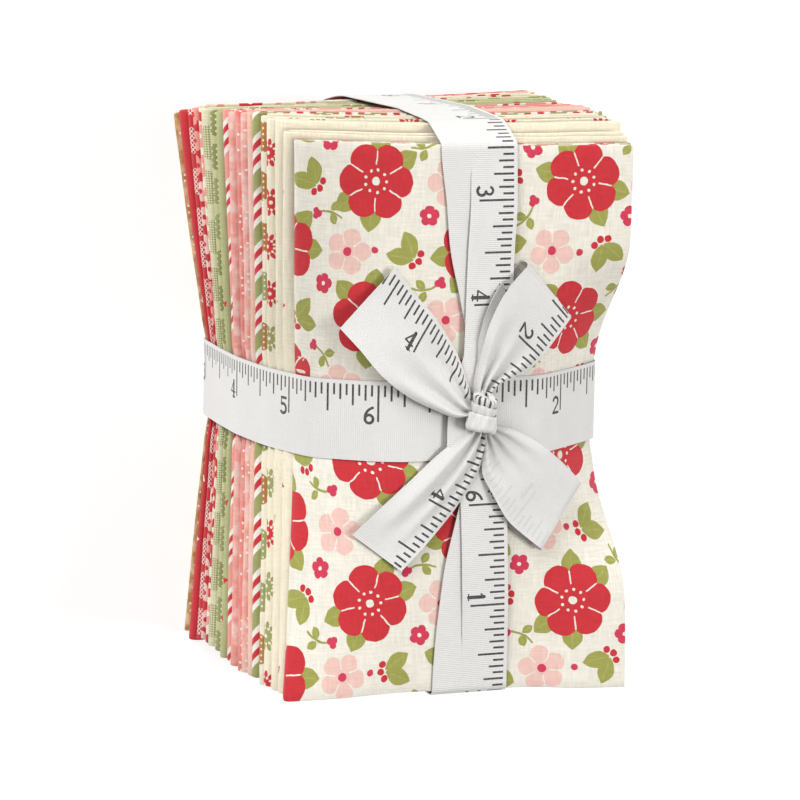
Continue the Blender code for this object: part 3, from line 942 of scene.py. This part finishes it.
# %% The table of packets
PACKET_COLUMNS = ("cloth", "thick", "spine", "edge", "far", "near", "slack")
PACKETS = (
    ("tan_dot_cotton", 5.7, 0.0, 57.0, 0.0, -2.6, 0.9),
    ("deep_red_cotton", 7.1, -0.2, 57.2, 1.4, -0.8, 1.1),
    ("red_fleck_cotton", 5.4, 0.3, 57.4, 2.6, -1.6, 0.9),
    ("red_dot_cotton", 4.8, 0.5, 57.0, 3.5, -2.6, 0.85),
    ("red_cream_cotton", 5.1, 0.6, 56.6, 3.8, -2.6, 0.85),
    ("green_check_cotton", 6.7, -0.3, 56.8, 3.8, -2.8, 1.05),
    ("green_dot_oval_cotton", 6.2, 0.1, 57.2, 3.6, -2.4, 1.0),
    ("sage_cotton", 5.9, -0.1, 57.0, 3.2, -1.4, 1.0),
    ("candy_stripe_cotton", 5.6, 0.4, 56.6, 4.0, -1.4, 0.9),
    ("pink_mottle_cotton", 6.3, -0.4, 57.2, 3.8, -0.5, 1.05),
    ("coral_dot_cotton", 5.4, 0.3, 56.8, 4.8, -0.5, 0.9),
    ("light_pink_cotton", 5.1, 0.0, 57.2, 4.6, -1.3, 0.9),
    ("peach_cotton", 5.7, 0.2, 56.6, 5.2, -1.1, 0.95),
    ("green_red_stripe_cotton", 6.2, -0.3, 57.0, 5.2, -2.1, 1.0),
    ("cream_oval_cotton", 5.9, 0.2, 56.2, 4.8, -0.5, 0.95),
    ("cream_snowflake_cotton", 6.6, -0.3, 56.0, 4.6, -1.0, 1.0),
    ("cream_plain_cotton", 6.3, -0.1, 56.2, 4.0, -1.1, 1.1),
    ("cream_fleck_cotton", 5.1, 0.3, 56.3, 1.2, -1.2, 0.85),
    ("floral_cotton", 5.4, 0.0, 56.5, -1.2, -0.5, 0.8),
)
THICK = np.array([row[PACKET_COLUMNS.index("thick")] for row in PACKETS])
THICK *= STACK_HEIGHT / THICK.sum()
BASES = np.concatenate(((0,), np.cumsum(THICK)[:-1]))
print("packets:", len(PACKETS), "from", THICK.min().round(2), "to", THICK.max().round(2), "mm thick")

# %% Fold one packet
WAVE_PEAK = 1.6
LEFT_PART, RIGHT_PART = (35, 57), (40, 57)
# How far each part strays in mm, and the length of its longest wave.
END_STRAY, END_WAVE, END_WAVES = 0.8, 1.6, 7
SPINE_STRAY, SPINE_WAVE = 0.35, 150
EDGE_STRAY, EDGE_WAVE, PLY_OFFSET = 0.7, 120, 40
PANEL_STRAY, PANEL_WAVE, PANEL_TURNS = 0.8, 2, 3
TOP_CALM = 0.3
TOP_SPINE_ALONG = (-88, -60, -20, 20, 88)
TOP_SPINE_IN = (0.0, 1.0, 2.5, 2.7, 1.7)


def slow_wave(at, chance, longest, waves=3):
    """A slow, seeded wave between about -1 and 1."""
    total = np.zeros_like(at)
    for i in range(waves):
        size, start = chance.uniform(0.5, 1), chance.uniform(0, 2 * math.pi)
        total += size * np.sin(2 * math.pi * (i + 1) * at / longest + start) / (i + 1)
    return total / WAVE_PEAK


def packet(number, row):
    """One fat quarter, folded into its packet of the even stack, as a sheet with no thickness."""
    values = dict(zip(PACKET_COLUMNS, row))
    chance = np.random.default_rng(number)
    on_top = number == len(PACKETS)
    calm = TOP_CALM if on_top else 1
    panel_cuts, length_cuts = TOP_PACKET_CUTS if on_top else PACKET_CUTS
    base, thick = BASES[number - 1], THICK[number - 1]
    spine, edge, slack = values["spine"], values["edge"], values["slack"]
    path, sides, ply = across_path(base, thick, spine, edge, slack, panel_cuts)
    lengthwise = along_path(values["far"], values["near"], ply, length_cuts)
    across_run, along_run = run_length(path), run_length(lengthwise)
    along, out = lengthwise.T
    x = path[None, :, 0] + sides[None, :, 0] * out[:, None]
    z = path[None, :, 1] + sides[None, :, 1] * out[:, None]
    y = np.tile(along[:, None], (1, len(path)))
    far_share = smooth_step(y, -HALF_LENGTH, HALF_LENGTH)
    run_share = np.tile(across_run / across_run[-1], (len(along), 1))
    far_wave, near_wave = (slow_wave(run_share, chance, END_WAVE, END_WAVES) for _ in range(2))
    y += END_STRAY * calm * (far_wave * far_share + near_wave * (1 - far_share))
    left, right = smooth_step(-x, *LEFT_PART), smooth_step(x, *RIGHT_PART)
    x += SPINE_STRAY * slow_wave(y, chance, SPINE_WAVE) * left
    if on_top:
        x += np.interp(y, TOP_SPINE_ALONG, TOP_SPINE_IN) * left
    edge_wave = slow_wave(y + PLY_OFFSET * out[:, None], chance, EDGE_WAVE) * EDGE_STRAY
    panel_wave = PANEL_STRAY * slow_wave(run_share * PANEL_TURNS, chance, PANEL_WAVE)
    x += calm * (edge_wave + panel_wave) * right
    places = np.stack((x, y, z), 2)
    flat = np.stack(np.broadcast_arrays(across_run[None, :], along_run[:, None]), 2)
    name = f"packet_{number:02d}_{values['cloth']}"
    return cloth_grid(name, places[:, ::-1], flat[:, ::-1])


# %% Make the nineteen packets
SHARPEST_COTTON_FOLD = 50

packets, stack_points = [], []
for number, packet_row in enumerate(PACKETS, 1):
    folded = packet(number, packet_row)
    cloth = packet_row[PACKET_COLUMNS.index("cloth")]
    for finish in cotton(cloth):
        folded.data.materials.append(finish)
    thicken(folded, CLOTH)
    stack_points.append(moved_by(folded, squeezed))
    shade_smooth(folded, SHARPEST_COTTON_FOLD)
    stand_for(folded, f"fat_quarter_{number:02d}")
    packets.append(folded)

# %% [markdown]
# ## The measuring ribbon
#
# The ribbon is a 1 in cotton tape with a ruler printed on it, 16 marks to the inch and numbers
# from 1 to 6. The printed inch is about 33 mm, so it is only for show. Its UVs hold the way along
# the ribbon and the way across it from the marked edge, so that one material serves the bands,
# the loops, the tails and the knot. Numbers are drawn with strokes, each the distance to a line
# or to a piece of a ring. Fine ribs run across the tape, and the ink hardly shows on its reverse.

# %% Sizes of the ruler
INCH = 32.8
MARKS = 16
MARK_START = 1.2
MARK_HALF = 0.34
# A mark at every so many sixteenths of the inch, and how far in from the edge it ends.
MARK_ENDS = ((1, 4.8), (2, 6.2), (4, 7.9), (8, 10.0), (16, 12.8))
NUMBER_BEFORE_LINE, NUMBER_DEPTH = 2.9, 10.8
STROKE_WEIGHT = 1.6
# The numbers 1 to 6, each as its lines and its pieces of rings. A line is its two ends and half
# its width. A piece of a ring is its centre, radius, middle and half span in degrees, and half
# its width. Places are in mm from the middle of the number.
NUMERALS = (
    (((0.1, -2.6, 0.1, 2.6, 0.36), (-0.9, 1.6, 0.0, 2.5, 0.16), (-0.9, -2.65, 1.1, -2.65, 0.14)),
     ()),
    (((1.1, 0.3, -1.4, -2.4, 0.22), (-1.4, -2.45, 1.5, -2.45, 0.26)),
     ((0.0, 1.2, 1.35, 62, 118, 0.28),)),
    ((),
     ((-0.1, 1.4, 1.15, 40, 130, 0.25), (-0.1, -1.2, 1.4, -30, 125, 0.3))),
    (((0.6, 2.6, -1.6, -1.0, 0.16), (-1.6, -1.0, 1.6, -1.0, 0.18), (0.6, 2.6, 0.6, -2.6, 0.36),
      (-0.3, -2.65, 1.5, -2.65, 0.14)),
     ()),
    (((-0.9, 2.5, 1.3, 2.5, 0.28), (-0.9, 2.5, -1.1, 0.3, 0.16)),
     ((-0.1, -0.95, 1.5, -10, 140, 0.3),)),
    ((),
     ((0.0, -1.2, 1.3, 0, 180, 0.28), (2.2, -0.9, 3.5, 142, 40, 0.26))),
)


def line_mark(x, y, x0, y0, x1, y1, half):
    """A straight stroke between two points."""
    wide, high = x1 - x0, y1 - y0
    share = ((x - x0) * wide + (y - y0) * high) / (wide * wide + high * high)
    share = share.either(0).at_most(1)
    return disc(x - x0 - share * wide, y - y0 - share * high, half * STROKE_WEIGHT)


def ring_mark(x, y, centre_x, centre_y, radius, middle, span, half):
    """A stroke along a ring, this many degrees to each side of its middle."""
    cosine, sine = math.cos(math.radians(middle)), math.sin(math.radians(middle))
    x, y = x - centre_x, y - centre_y
    x, y = x * cosine + y * sine, y * cosine - x * sine
    on_ring = abs(length_of(x, y) - radius) < half * STROKE_WEIGHT
    return on_ring.both(abs(angle_of(x, y)) < math.radians(span))


def ruler_marks(s, t):
    """The ink on the ribbon, from the way along it and the way in from its marked edge."""
    steps = s * (MARKS / INCH)
    number = steps.by("ROUND")
    reach = number * 0
    for every, end in MARK_ENDS:
        reach = reach.either((number.part(every) < 0.5) * end)
    ink = (abs(steps - number) < MARK_HALF * MARKS / INCH).both(t > MARK_START).both(t < reach)
    x = s.part(INCH) - (INCH - NUMBER_BEFORE_LINE)
    y = NUMBER_DEPTH - t
    which = (s / INCH).whole().part(len(NUMERALS))
    for place, (lines, rings) in enumerate(NUMERALS):
        strokes = [line_mark(x, y, *line) for line in lines]
        strokes += [ring_mark(x, y, *ring) for ring in rings]
        numeral = strokes[0]
        for stroke in strokes[1:]:
            numeral = numeral.either(stroke)
        ink = ink.either(numeral.both(abs(which - place) < 0.5))
    return ink


# %% The ribbon's two finishes
RIBBON_COLOUR = (0.735, 0.72, 0.70)
INK_COLOUR = (0.022, 0.021, 0.023)
FACE_INK, REVERSE_INK = 0.97, 0.1
INK_PATCH, INK_DETAIL, INK_SEED = 0.7, 2.0, 3.0
INK_WEAR, INK_LEAST = 0.4, 0.75
RIB_PITCH, RIB_RELIEF = 0.62, 0.8
FINE_PITCH, FINE_RELIEF = 0.45, 0.2
RIBBON_SHADE, RIBBON_UNEVEN = 0.05, 0.06


def ribs(s, t):
    """The relief of the ribs that run across the ribbon, with fine threads along it."""
    fine = (t * (2 * math.pi / FINE_PITCH)).sine() * FINE_RELIEF
    return (s * (2 * math.pi / RIB_PITCH)).sine() * RIB_RELIEF + fine


def inked(strength):
    """The ribbon's colour with its ink, as strong as it shows on the face or on the reverse."""
    def colour(s, t):
        worn = cloud(s, t, INK_PATCH, INK_DETAIL, INK_SEED) * INK_WEAR + INK_LEAST
        ink = ruler_marks(s, t) * worn.at_most(1) * strength
        return paint(RIBBON_COLOUR, ink, INK_COLOUR)
    return colour


ribbon_finishes = [
    cotton_material("measuring_ribbon" + side, inked(strength), ribs, RIBBON_SHADE, RIBBON_UNEVEN)
    for side, strength in (("", FACE_INK), ("_reverse", REVERSE_INK))
]
print("nodes in the ribbon's material:", len(ribbon_finishes[0].node_tree.nodes))

# %% [markdown]
# ### The two bands
#
# A tight band takes the shortest way round what it holds, so its path is the outline of all the
# points under it, seen along the band's own width. Each of many directions picks the point that
# lies furthest out, and moving it out a little more by that direction gives soft corners.

# %% Taut paths and ribbon pieces
RIBBON = 0.35
RIBBON_CLEAR = 0.5
SHARPEST_RIBBON_FOLD = 60
DIRECTIONS = 1440
BAND_STEP = 1.2
BAND_COLUMNS = 25
CLOSING_GAP = 0.1


def taut_path(points):
    """The closed line, in even steps, that a tight ribbon takes round points of a plane."""
    angles = np.linspace(0, 2 * math.pi, DIRECTIONS, endpoint=False)
    ways = np.stack((np.cos(angles), np.sin(angles)))
    line = points[np.argmax(points @ ways, axis=0)] + ways.T * RIBBON_CLEAR
    closed = np.concatenate((line, line[:1]))
    run = run_length(closed)
    at = np.linspace(0, run[-1], int(run[-1] / BAND_STEP), endpoint=False)
    even = np.stack([np.interp(at, run, closed[:, i]) for i in (0, 1)], 1)
    return (np.roll(even, 1, axis=0) + 2 * even + np.roll(even, -1, axis=0)) / 4


def ribbon_piece(name, node, places, s, t, length):
    """A ribbon through a grid of places, with its finish, its thickness and what it stands for.
    s and t are the way along the ribbon and in from its marked edge, in mm."""
    flat = np.stack(np.broadcast_arrays(s, t), 2)
    piece = cloth_grid(name, places, flat)
    for finish in ribbon_finishes:
        piece.data.materials.append(finish)
    thicken(piece, RIBBON)
    shade_smooth(piece, SHARPEST_RIBBON_FOLD)
    stand_for(piece, node)
    print(name, round(length), "mm long")


def band(node, places, first_mark):
    """A band from rows of places. It is closed on itself by one more row, just short of the first.
    Its length is measured once that row has been moved."""
    rows = np.concatenate((places, places[:1]))
    middle = rows[:, rows.shape[1] // 2]
    s = run_length(middle)[:, None] + first_mark
    t = np.linspace(0, RIBBON_WIDTH, rows.shape[1])[None, :]
    rows[-1] -= (rows[-1] - rows[-2]) * CLOSING_GAP
    ribbon_piece(node + "_tape", node, rows, s, t, run_length(middle)[-1])


# %% The band across
ACROSS_FIRST_MARK = 36.9
UNDER_ACROSS = 13.5
WOBBLE, WOBBLE_WAVE, WOBBLE_SEED = 0.25, 0.5, 31

all_points = np.concatenate(stack_points)
under_band = all_points[np.abs(all_points[:, 1] - FOOTPRINT_SHIFT[1]) < UNDER_ACROSS]
path = taut_path(under_band[:, [0, 2]])
lowest = np.argmin(np.abs(path[:, 0] - FOOTPRINT_SHIFT[0]) + path[:, 1])
path = np.roll(path, -lowest, axis=0)[::-1]
wobble = np.random.default_rng(WOBBLE_SEED)
edge_wave = WOBBLE * slow_wave(np.linspace(0, 1, len(path)), wobble, WOBBLE_WAVE)
t_share = np.linspace(0, 1, BAND_COLUMNS + 1)
y = FOOTPRINT_SHIFT[1] + RIBBON_WIDTH * (0.5 - t_share)[None, :] + edge_wave[:, None]
places = np.stack(np.broadcast_arrays(path[:, None, 0], y, path[:, None, 1]), 2)
band("ribbon_band_across", places, ACROSS_FIRST_MARK)

# %% [markdown]
# ### The band along
#
# On top, the knot draws this band together: a pleat shaped like a Z grows towards the crossing
# and tucks the plain half under the marked one. The table gives, by distance along the bundle,
# where the marked edge lies and how deep the pleat is. At the far and near ends the band leans
# with the lower packets.

# %% The pleat
MARKED_PART = 15.24
PLEAT_STEP, FULL_PLEAT, PLEAT_FOLD_HALF = 0.55, 1.5, 0.6
ALONG_COLUMNS = ("along", "marked_edge", "pleat")
ALONG = np.array([
    (-95.0, 17.7, 0.0),
    (-80.0, 17.7, 0.2),
    (-50.0, 17.0, 2.0),
    (-22.0, 15.6, 5.5),
    (-8.0, 11.0, 6.5),
    (8.0, 11.5, 6.5),
    (22.0, 16.2, 5.9),
    (38.0, 16.5, 4.2),
    (54.0, 16.9, 2.2),
    (70.0, 17.6, 1.0),
    (86.0, 17.5, 0.1),
    (95.0, 17.7, 0.0),
])


def along_band(name, along):
    return smooth_curve(ALONG[:, 0], ALONG[:, ALONG_COLUMNS.index(name)], along)


def layers_left(t, fold):
    """1 before a fold and 0 after it."""
    return smooth_step(t, fold - PLEAT_FOLD_HALF, fold + PLEAT_FOLD_HALF)


def pleated(t, marked_edge, depth):
    """Where each part of the width lies across, and how many layers of the pleat are under it."""
    second_fold = MARKED_PART + depth
    across = marked_edge - np.minimum(t, MARKED_PART)
    across = across + np.clip(t - MARKED_PART, 0, depth) - np.clip(t - second_fold, 0, None)
    layers = 2 - layers_left(t, MARKED_PART) - layers_left(t, second_fold)
    return across, layers * np.clip(depth / FULL_PLEAT, 0, 1)


# %% The band along
ALONG_FIRST_MARK = 78.7
MIDDLE_ACROSS, UNDER_ALONG = 5, 14.5
CROSSING_HALF, CROSSING_ABOVE = 14, 100
TOP_FROM, TOP_TO = 92, 104
LEAN_SHARE = 0.456

near_middle = np.abs(all_points[:, 0] - FOOTPRINT_SHIFT[0] - MIDDLE_ACROSS) < UNDER_ALONG
under_band = all_points[near_middle][:, [1, 2]]
crossing = under_band[np.abs(under_band[:, 0] - FOOTPRINT_SHIFT[1]) < CROSSING_HALF]
crossing = crossing[crossing[:, 1] > CROSSING_ABOVE] + (0, RIBBON_CLEAR + RIBBON / 2)
path = taut_path(np.concatenate((under_band, crossing)))
start = np.argmin(np.abs(path[:, 0] - FOOTPRINT_SHIFT[1]) + path[:, 1])
path = np.roll(path, -start, axis=0)
along, height = path[:, :1] - FOOTPRINT_SHIFT[1], path[:, 1:]
depth = along_band("pleat", along) * smooth_step(height, TOP_FROM, TOP_TO)
lean = (1 - height / STACK_HEIGHT) * LEAN_SHARE * (LOWER_SHIFT + LOWER_LEAN * along / HALF_LENGTH)
t = np.linspace(0, RIBBON_WIDTH, BAND_COLUMNS + 1)[None, :]
x, layers = pleated(t, along_band("marked_edge", along), depth)
x = x + lean + FOOTPRINT_SHIFT[0]
places = np.stack(np.broadcast_arrays(x, path[:, :1], height + PLEAT_STEP * layers), 2)
band("ribbon_band_along", places, ALONG_FIRST_MARK)

# %% [markdown]
# ### Tails and loops
#
# What comes out of the knot is the same ribbon, full width at its end and drawn together at the
# knot. Each piece is laid between two edges, given by a few points from the end to the knot, and
# folds like soft ridges grow towards the knot and take up the spare width. A loop goes out as one
# leaf, turns over a round fold and comes back as a second leaf underneath, a little to one side.

# %% The edges of the bow
BOW_ROWS, BOW_COLUMNS = 44, 28
# Each piece's marked edge and its plain edge, from the end to the knot, in mm.
EDGES = {
    "tail_upper": (
        ((-22.7, 49.2, 108.6), (-15.4, 40, 110), (-9.4, 33, 111), (-1.5, 20.5, 112), (2.4, 9.4, 113),
         (4.5, 4, 113.5)),
        ((-38.5, 30, 103.5), (-33.2, 23.6, 107), (-26.8, 15.6, 110), (-18.3, 8.9, 111.5),
         (-10.7, 4.9, 112.5), (-1.4, 1.7, 113), (3, 2, 113.2)),
    ),
    "tail_lower": (
        ((-18.9, -47.4, 108.6), (-7.9, -36, 110), (0.8, -25.3, 111), (6.7, -14, 112), (8.5, -4, 112.5),
         (8, 2, 113)),
        ((-33.7, -35.8, 104), (-25.7, -27.6, 107), (-16.8, -19.4, 109.5), (-7.5, -10.8, 111),
         (1.6, -2.8, 112), (4, 2, 112.8)),
    ),
    "loop_upper": (
        ((37.6, 32.1, 108), (31.5, 25.1, 109.5), (23.6, 16.4, 111), (16.8, 13.1, 112),
         (10.8, 10.6, 113), (6.5, 4, 113.8)),
        ((21.9, 49.6, 111), (14.7, 43.3, 113), (9.7, 36.3, 114), (6.6, 27.6, 114), (5.2, 18.2, 113),
         (4.1, 10, 113), (4, 4, 113.5)),
    ),
    "loop_lower": (
        ((28.8, -43.4, 110.5), (21.5, -37.6, 111), (15.4, -32.1, 112), (10.6, -24.2, 113),
         (7, -15.4, 113), (7, -3.2, 113), (6, 2, 113)),
        ((43.4, -23.5, 107), (34.1, -14.4, 109), (24.3, -7.1, 111.5), (16.8, -3.4, 113),
         (10.9, -1.7, 113.5), (7, 3, 113.4)),
    ),
}
# Each ridge's middle and half width as shares of the width, its height beside the others, and the
# share of the length at which it starts.
RIDGES = {
    "tail_upper": ((0.16, 0.10, 0.8, 0.4), (0.52, 0.13, 1.0, 0.3), (0.9, 0.11, 1.2, 0.25)),
    "tail_lower": ((0.12, 0.10, 0.9, 0.2), (0.38, 0.10, 1.0, 0.1), (0.74, 0.15, 1.2, 0.1)),
    "loop_upper": ((0.14, 0.11, 1.0, 0.3), (0.52, 0.11, 1.1, 0.3), (0.86, 0.12, 1.1, 0.25)),
    "loop_lower": ((0.13, 0.10, 1.0, 0.3), (0.38, 0.09, 1.0, 0.4), (0.63, 0.09, 1.0, 0.35),
                   (0.88, 0.10, 1.0, 0.3)),
}
print("pieces of the bow:", len(EDGES))

# %% Rows across a piece of the bow
GATHER = 0.55
HIGHEST_FOLD = 2.1
RIDGE_BEFORE, RIDGE_AFTER, RIDGE_SINK = 0.1, 0.45, 0.4
BOW_STRAY, BOW_WAVE_ON, BOW_WAVE_OVER, BOW_WAVE = 0.35, 1.3, 0.6, 1.1


def along_edge(corners):
    """Even rows of points on a smooth curve through the corners of an edge."""
    corners = np.array(corners, float)
    run = run_length(corners)
    at = np.linspace(0, run[-1], BOW_ROWS)
    return np.stack([smooth_curve(run, corners[:, i], at) for i in range(3)], 1)


def bow_leaf(name, chance):
    """Rows across a tail or a leaf, from its end to the knot."""
    marked, plain_edge = (along_edge(edge) for edge in EDGES[name])
    u = np.linspace(0, 1, BOW_COLUMNS + 1)[None, :, None]
    rows = marked[:, None] * (1 - u) + plain_edge[:, None] * u
    share = np.linspace(0, 1, BOW_ROWS)[:, None]
    u = u[..., 0]
    drawn_to = np.linalg.norm(plain_edge - marked, axis=1)[:, None]
    spare = np.sqrt(np.clip((RIBBON_WIDTH / drawn_to) ** 2 - 1, 0, None))
    fold_height = np.minimum(GATHER * drawn_to * spare / len(RIDGES[name]), HIGHEST_FOLD)
    lift = np.zeros_like(rows[..., 2])
    for across, half, high, start in RIDGES[name]:
        grown = smooth_step(share, start - RIDGE_BEFORE, start + RIDGE_AFTER)
        ridge = np.exp(-(((u - across) / half) ** 2)) - RIDGE_SINK
        lift += high * fold_height * grown * ridge
    wave = slow_wave(share * BOW_WAVE_ON + u * BOW_WAVE_OVER, chance, BOW_WAVE)
    lift += BOW_STRAY * wave * (1 - share)
    rows[..., 2] += lift
    return rows


def facing_up(rows):
    """Whether the printed face of these rows is on top."""
    over = rows[1:-1, 2:] - rows[1:-1, :-2]
    on = rows[2:, 1:-1] - rows[:-2, 1:-1]
    return np.cross(over, on)[..., 2].mean() > 0


# %% The round fold of a loop
SECOND_LEAF_SIDE = np.array((-2.2, 0.6, 0.0))
SECOND_LEAF_DROP = 1.5
LOOP_RADIUS = 2.1
LOOP_TURNS = 8
LOOP_AIM_ROW = 8
SECOND_ROW_SHARE = 0.4


def looped(leaf):
    """The leaf from the knot out, and the whole loop: that leaf, its round fold and the leaf
    underneath. The fold's way out is from a row further in to the end of the leaf."""
    middle = leaf[:, BOW_COLUMNS // 2]
    out = middle[0] - middle[LOOP_AIM_ROW]
    out[2] = 0
    out /= np.linalg.norm(out)
    leaf = leaf[::-1]
    leaf[-1] -= out * LOOP_RADIUS
    leaf[-2] -= out * LOOP_RADIUS * SECOND_ROW_SHARE
    angles = np.radians(np.linspace(90, -90, LOOP_TURNS + 1))[1:-1, None, None]
    bend = out * np.cos(angles) * LOOP_RADIUS
    bend = bend + np.array((0, 0, 1)) * (np.sin(angles) - 1) * LOOP_RADIUS
    side = SECOND_LEAF_SIDE * smooth_step(90 - np.degrees(angles), 0, 180)
    fold = leaf[-1][None] + bend + side
    share = np.linspace(0, 1, BOW_ROWS)[:, None, None]
    back = leaf[::-1] + SECOND_LEAF_SIDE * (1 - share)
    back[..., 2] -= 2 * LOOP_RADIUS * (1 - share[..., 0]) + SECOND_LEAF_DROP * share[..., 0]
    return leaf, np.concatenate((leaf, fold, back))


# %% Make the tails and loops
BOW_SEED = 73
# Name, the ruler's reading at the start, how far it slants, whether the print is on top, and how
# the ribbon is held.
BOW = (
    ("tail_upper", 111.4, 0.19, True, "laid"),
    ("tail_lower", 154.8, 0.0, True, "laid"),
    ("loop_upper", 92.0, 0.0, True, "gathered"),
    ("loop_lower", 0.0, 0.0, False, "gathered"),
)


def bow_strip(name, first_mark, slant, face_up, held):
    """One tail or one loop."""
    upper_leaf = whole = bow_leaf(name, np.random.default_rng(BOW_SEED))
    if name.startswith("loop"):
        upper_leaf, whole = looped(upper_leaf)
    places = whole + (*FOOTPRINT_SHIFT, 0)
    t = np.linspace(0, RIBBON_WIDTH, BOW_COLUMNS + 1)[None, :]
    run = run_length(places[:, BOW_COLUMNS // 2])
    s = run[:, None] - slant * t
    if facing_up(upper_leaf) != face_up:
        places, t, s = places[:, ::-1], t[:, ::-1], -s[:, ::-1]
    node = f"ribbon_{name}"
    s = s + first_mark
    ribbon_piece(node + "_tape", node, places, s, t, run[-1])


for bow_row in BOW:
    bow_strip(*bow_row)

# %% [markdown]
# ### The knot
#
# The knot is one turn of the ribbon, pulled so tight over the crossing that its width lies in
# pleats, each half over the next. It is a closed roll whose axis points along the bundle, wider at
# its near end, with fine gathers where the pull crumples the tape. The table gives, by the way
# across the tape, how far along the roll it lies and how far out. Its first and last rows tuck
# the tape's edges in, so that the roll's two ends are closed.

# %% Knot
KNOT_CENTRE = (5.6, 1.5, 113.3)
KNOT_HALF_WIDTH, KNOT_HALF_HEIGHT = 3.3, 4.3
KNOT_FLARE = 0.085
KNOT_LEAN = 0.16
KNOT_SKEW = -0.22
KNOT_TURN_ROWS = 96
KNOT_COLUMNS = 56
KNOT_FIRST_WIDTH = -1.0
SPREAD_BELOW, SPREAD_WAVE, SPREAD_WAVES = 0.35, 0.05, 3
# Size of each wave of gathers, how many go round the knot, and how they slant.
KNOT_GATHERS = ((0.16, 9, 0.5), (0.1, 17, -1))
GATHERS_ALONG = 0.5
PLEAT_SMOOTHINGS = 2
PLEAT_COLUMNS = ("across", "along", "out")
PLEATS = np.array([
    (0.0, -3.3, -2.6),
    (2.6, -4.2, -0.2),
    (4.0, -3.1, 0.5),
    (8.6, 1.4, 0.5),
    (11.0, -0.9, -0.7),
    (16.0, 4.1, 0.3),
    (18.2, 2.2, -0.75),
    (22.2, 6.0, 0.1),
    (25.4, 6.5, -2.7),
])


def pleat(name, t):
    """A column of the table, at each way across the tape, with its corners rounded."""
    values = np.interp(t, PLEATS[:, 0], PLEATS[:, PLEAT_COLUMNS.index(name)])
    for _ in range(PLEAT_SMOOTHINGS):
        values[1:-1] = (values[:-2] + 2 * values[1:-1] + values[2:]) / 4
    return values


def knot_roll():
    angles = np.linspace(0, 2 * math.pi, KNOT_TURN_ROWS, endpoint=False)[:, None]
    t = np.linspace(0, RIBBON_WIDTH, KNOT_COLUMNS + 1)
    along, out = pleat("along", t), pleat("out", t)
    down = (1 - np.sin(angles)) / 2
    wider = KNOT_FLARE * (along[-1] - along)
    gathers = 0
    for size, times, slant in KNOT_GATHERS:
        gathers = gathers + size * np.sin(times * angles + slant * along)
    x = np.cos(angles) * (KNOT_HALF_WIDTH + out + wider + gathers) + KNOT_LEAN * along
    z = np.sin(angles) * (KNOT_HALF_HEIGHT + out + gathers)
    spread = 1 + SPREAD_BELOW * down + SPREAD_WAVE * np.cos(angles * SPREAD_WAVES)
    y = along * spread + KNOT_SKEW * x + GATHERS_ALONG * gathers
    places = np.stack(np.broadcast_arrays(x, y, z), 2) + KNOT_CENTRE + (*FOOTPRINT_SHIFT, 0)
    rows = np.concatenate((places, places[:1]))
    rows[-1] -= (rows[-1] - rows[-2]) * CLOSING_GAP
    run = run_length(rows[:, KNOT_COLUMNS // 2])
    width_in = RIBBON_WIDTH - t[None, :] + KNOT_FIRST_WIDTH
    ribbon_piece(
        "ribbon_knot_wrap", "ribbon_knot", rows, run[:, None], width_in, run[-1],
    )


knot_roll()
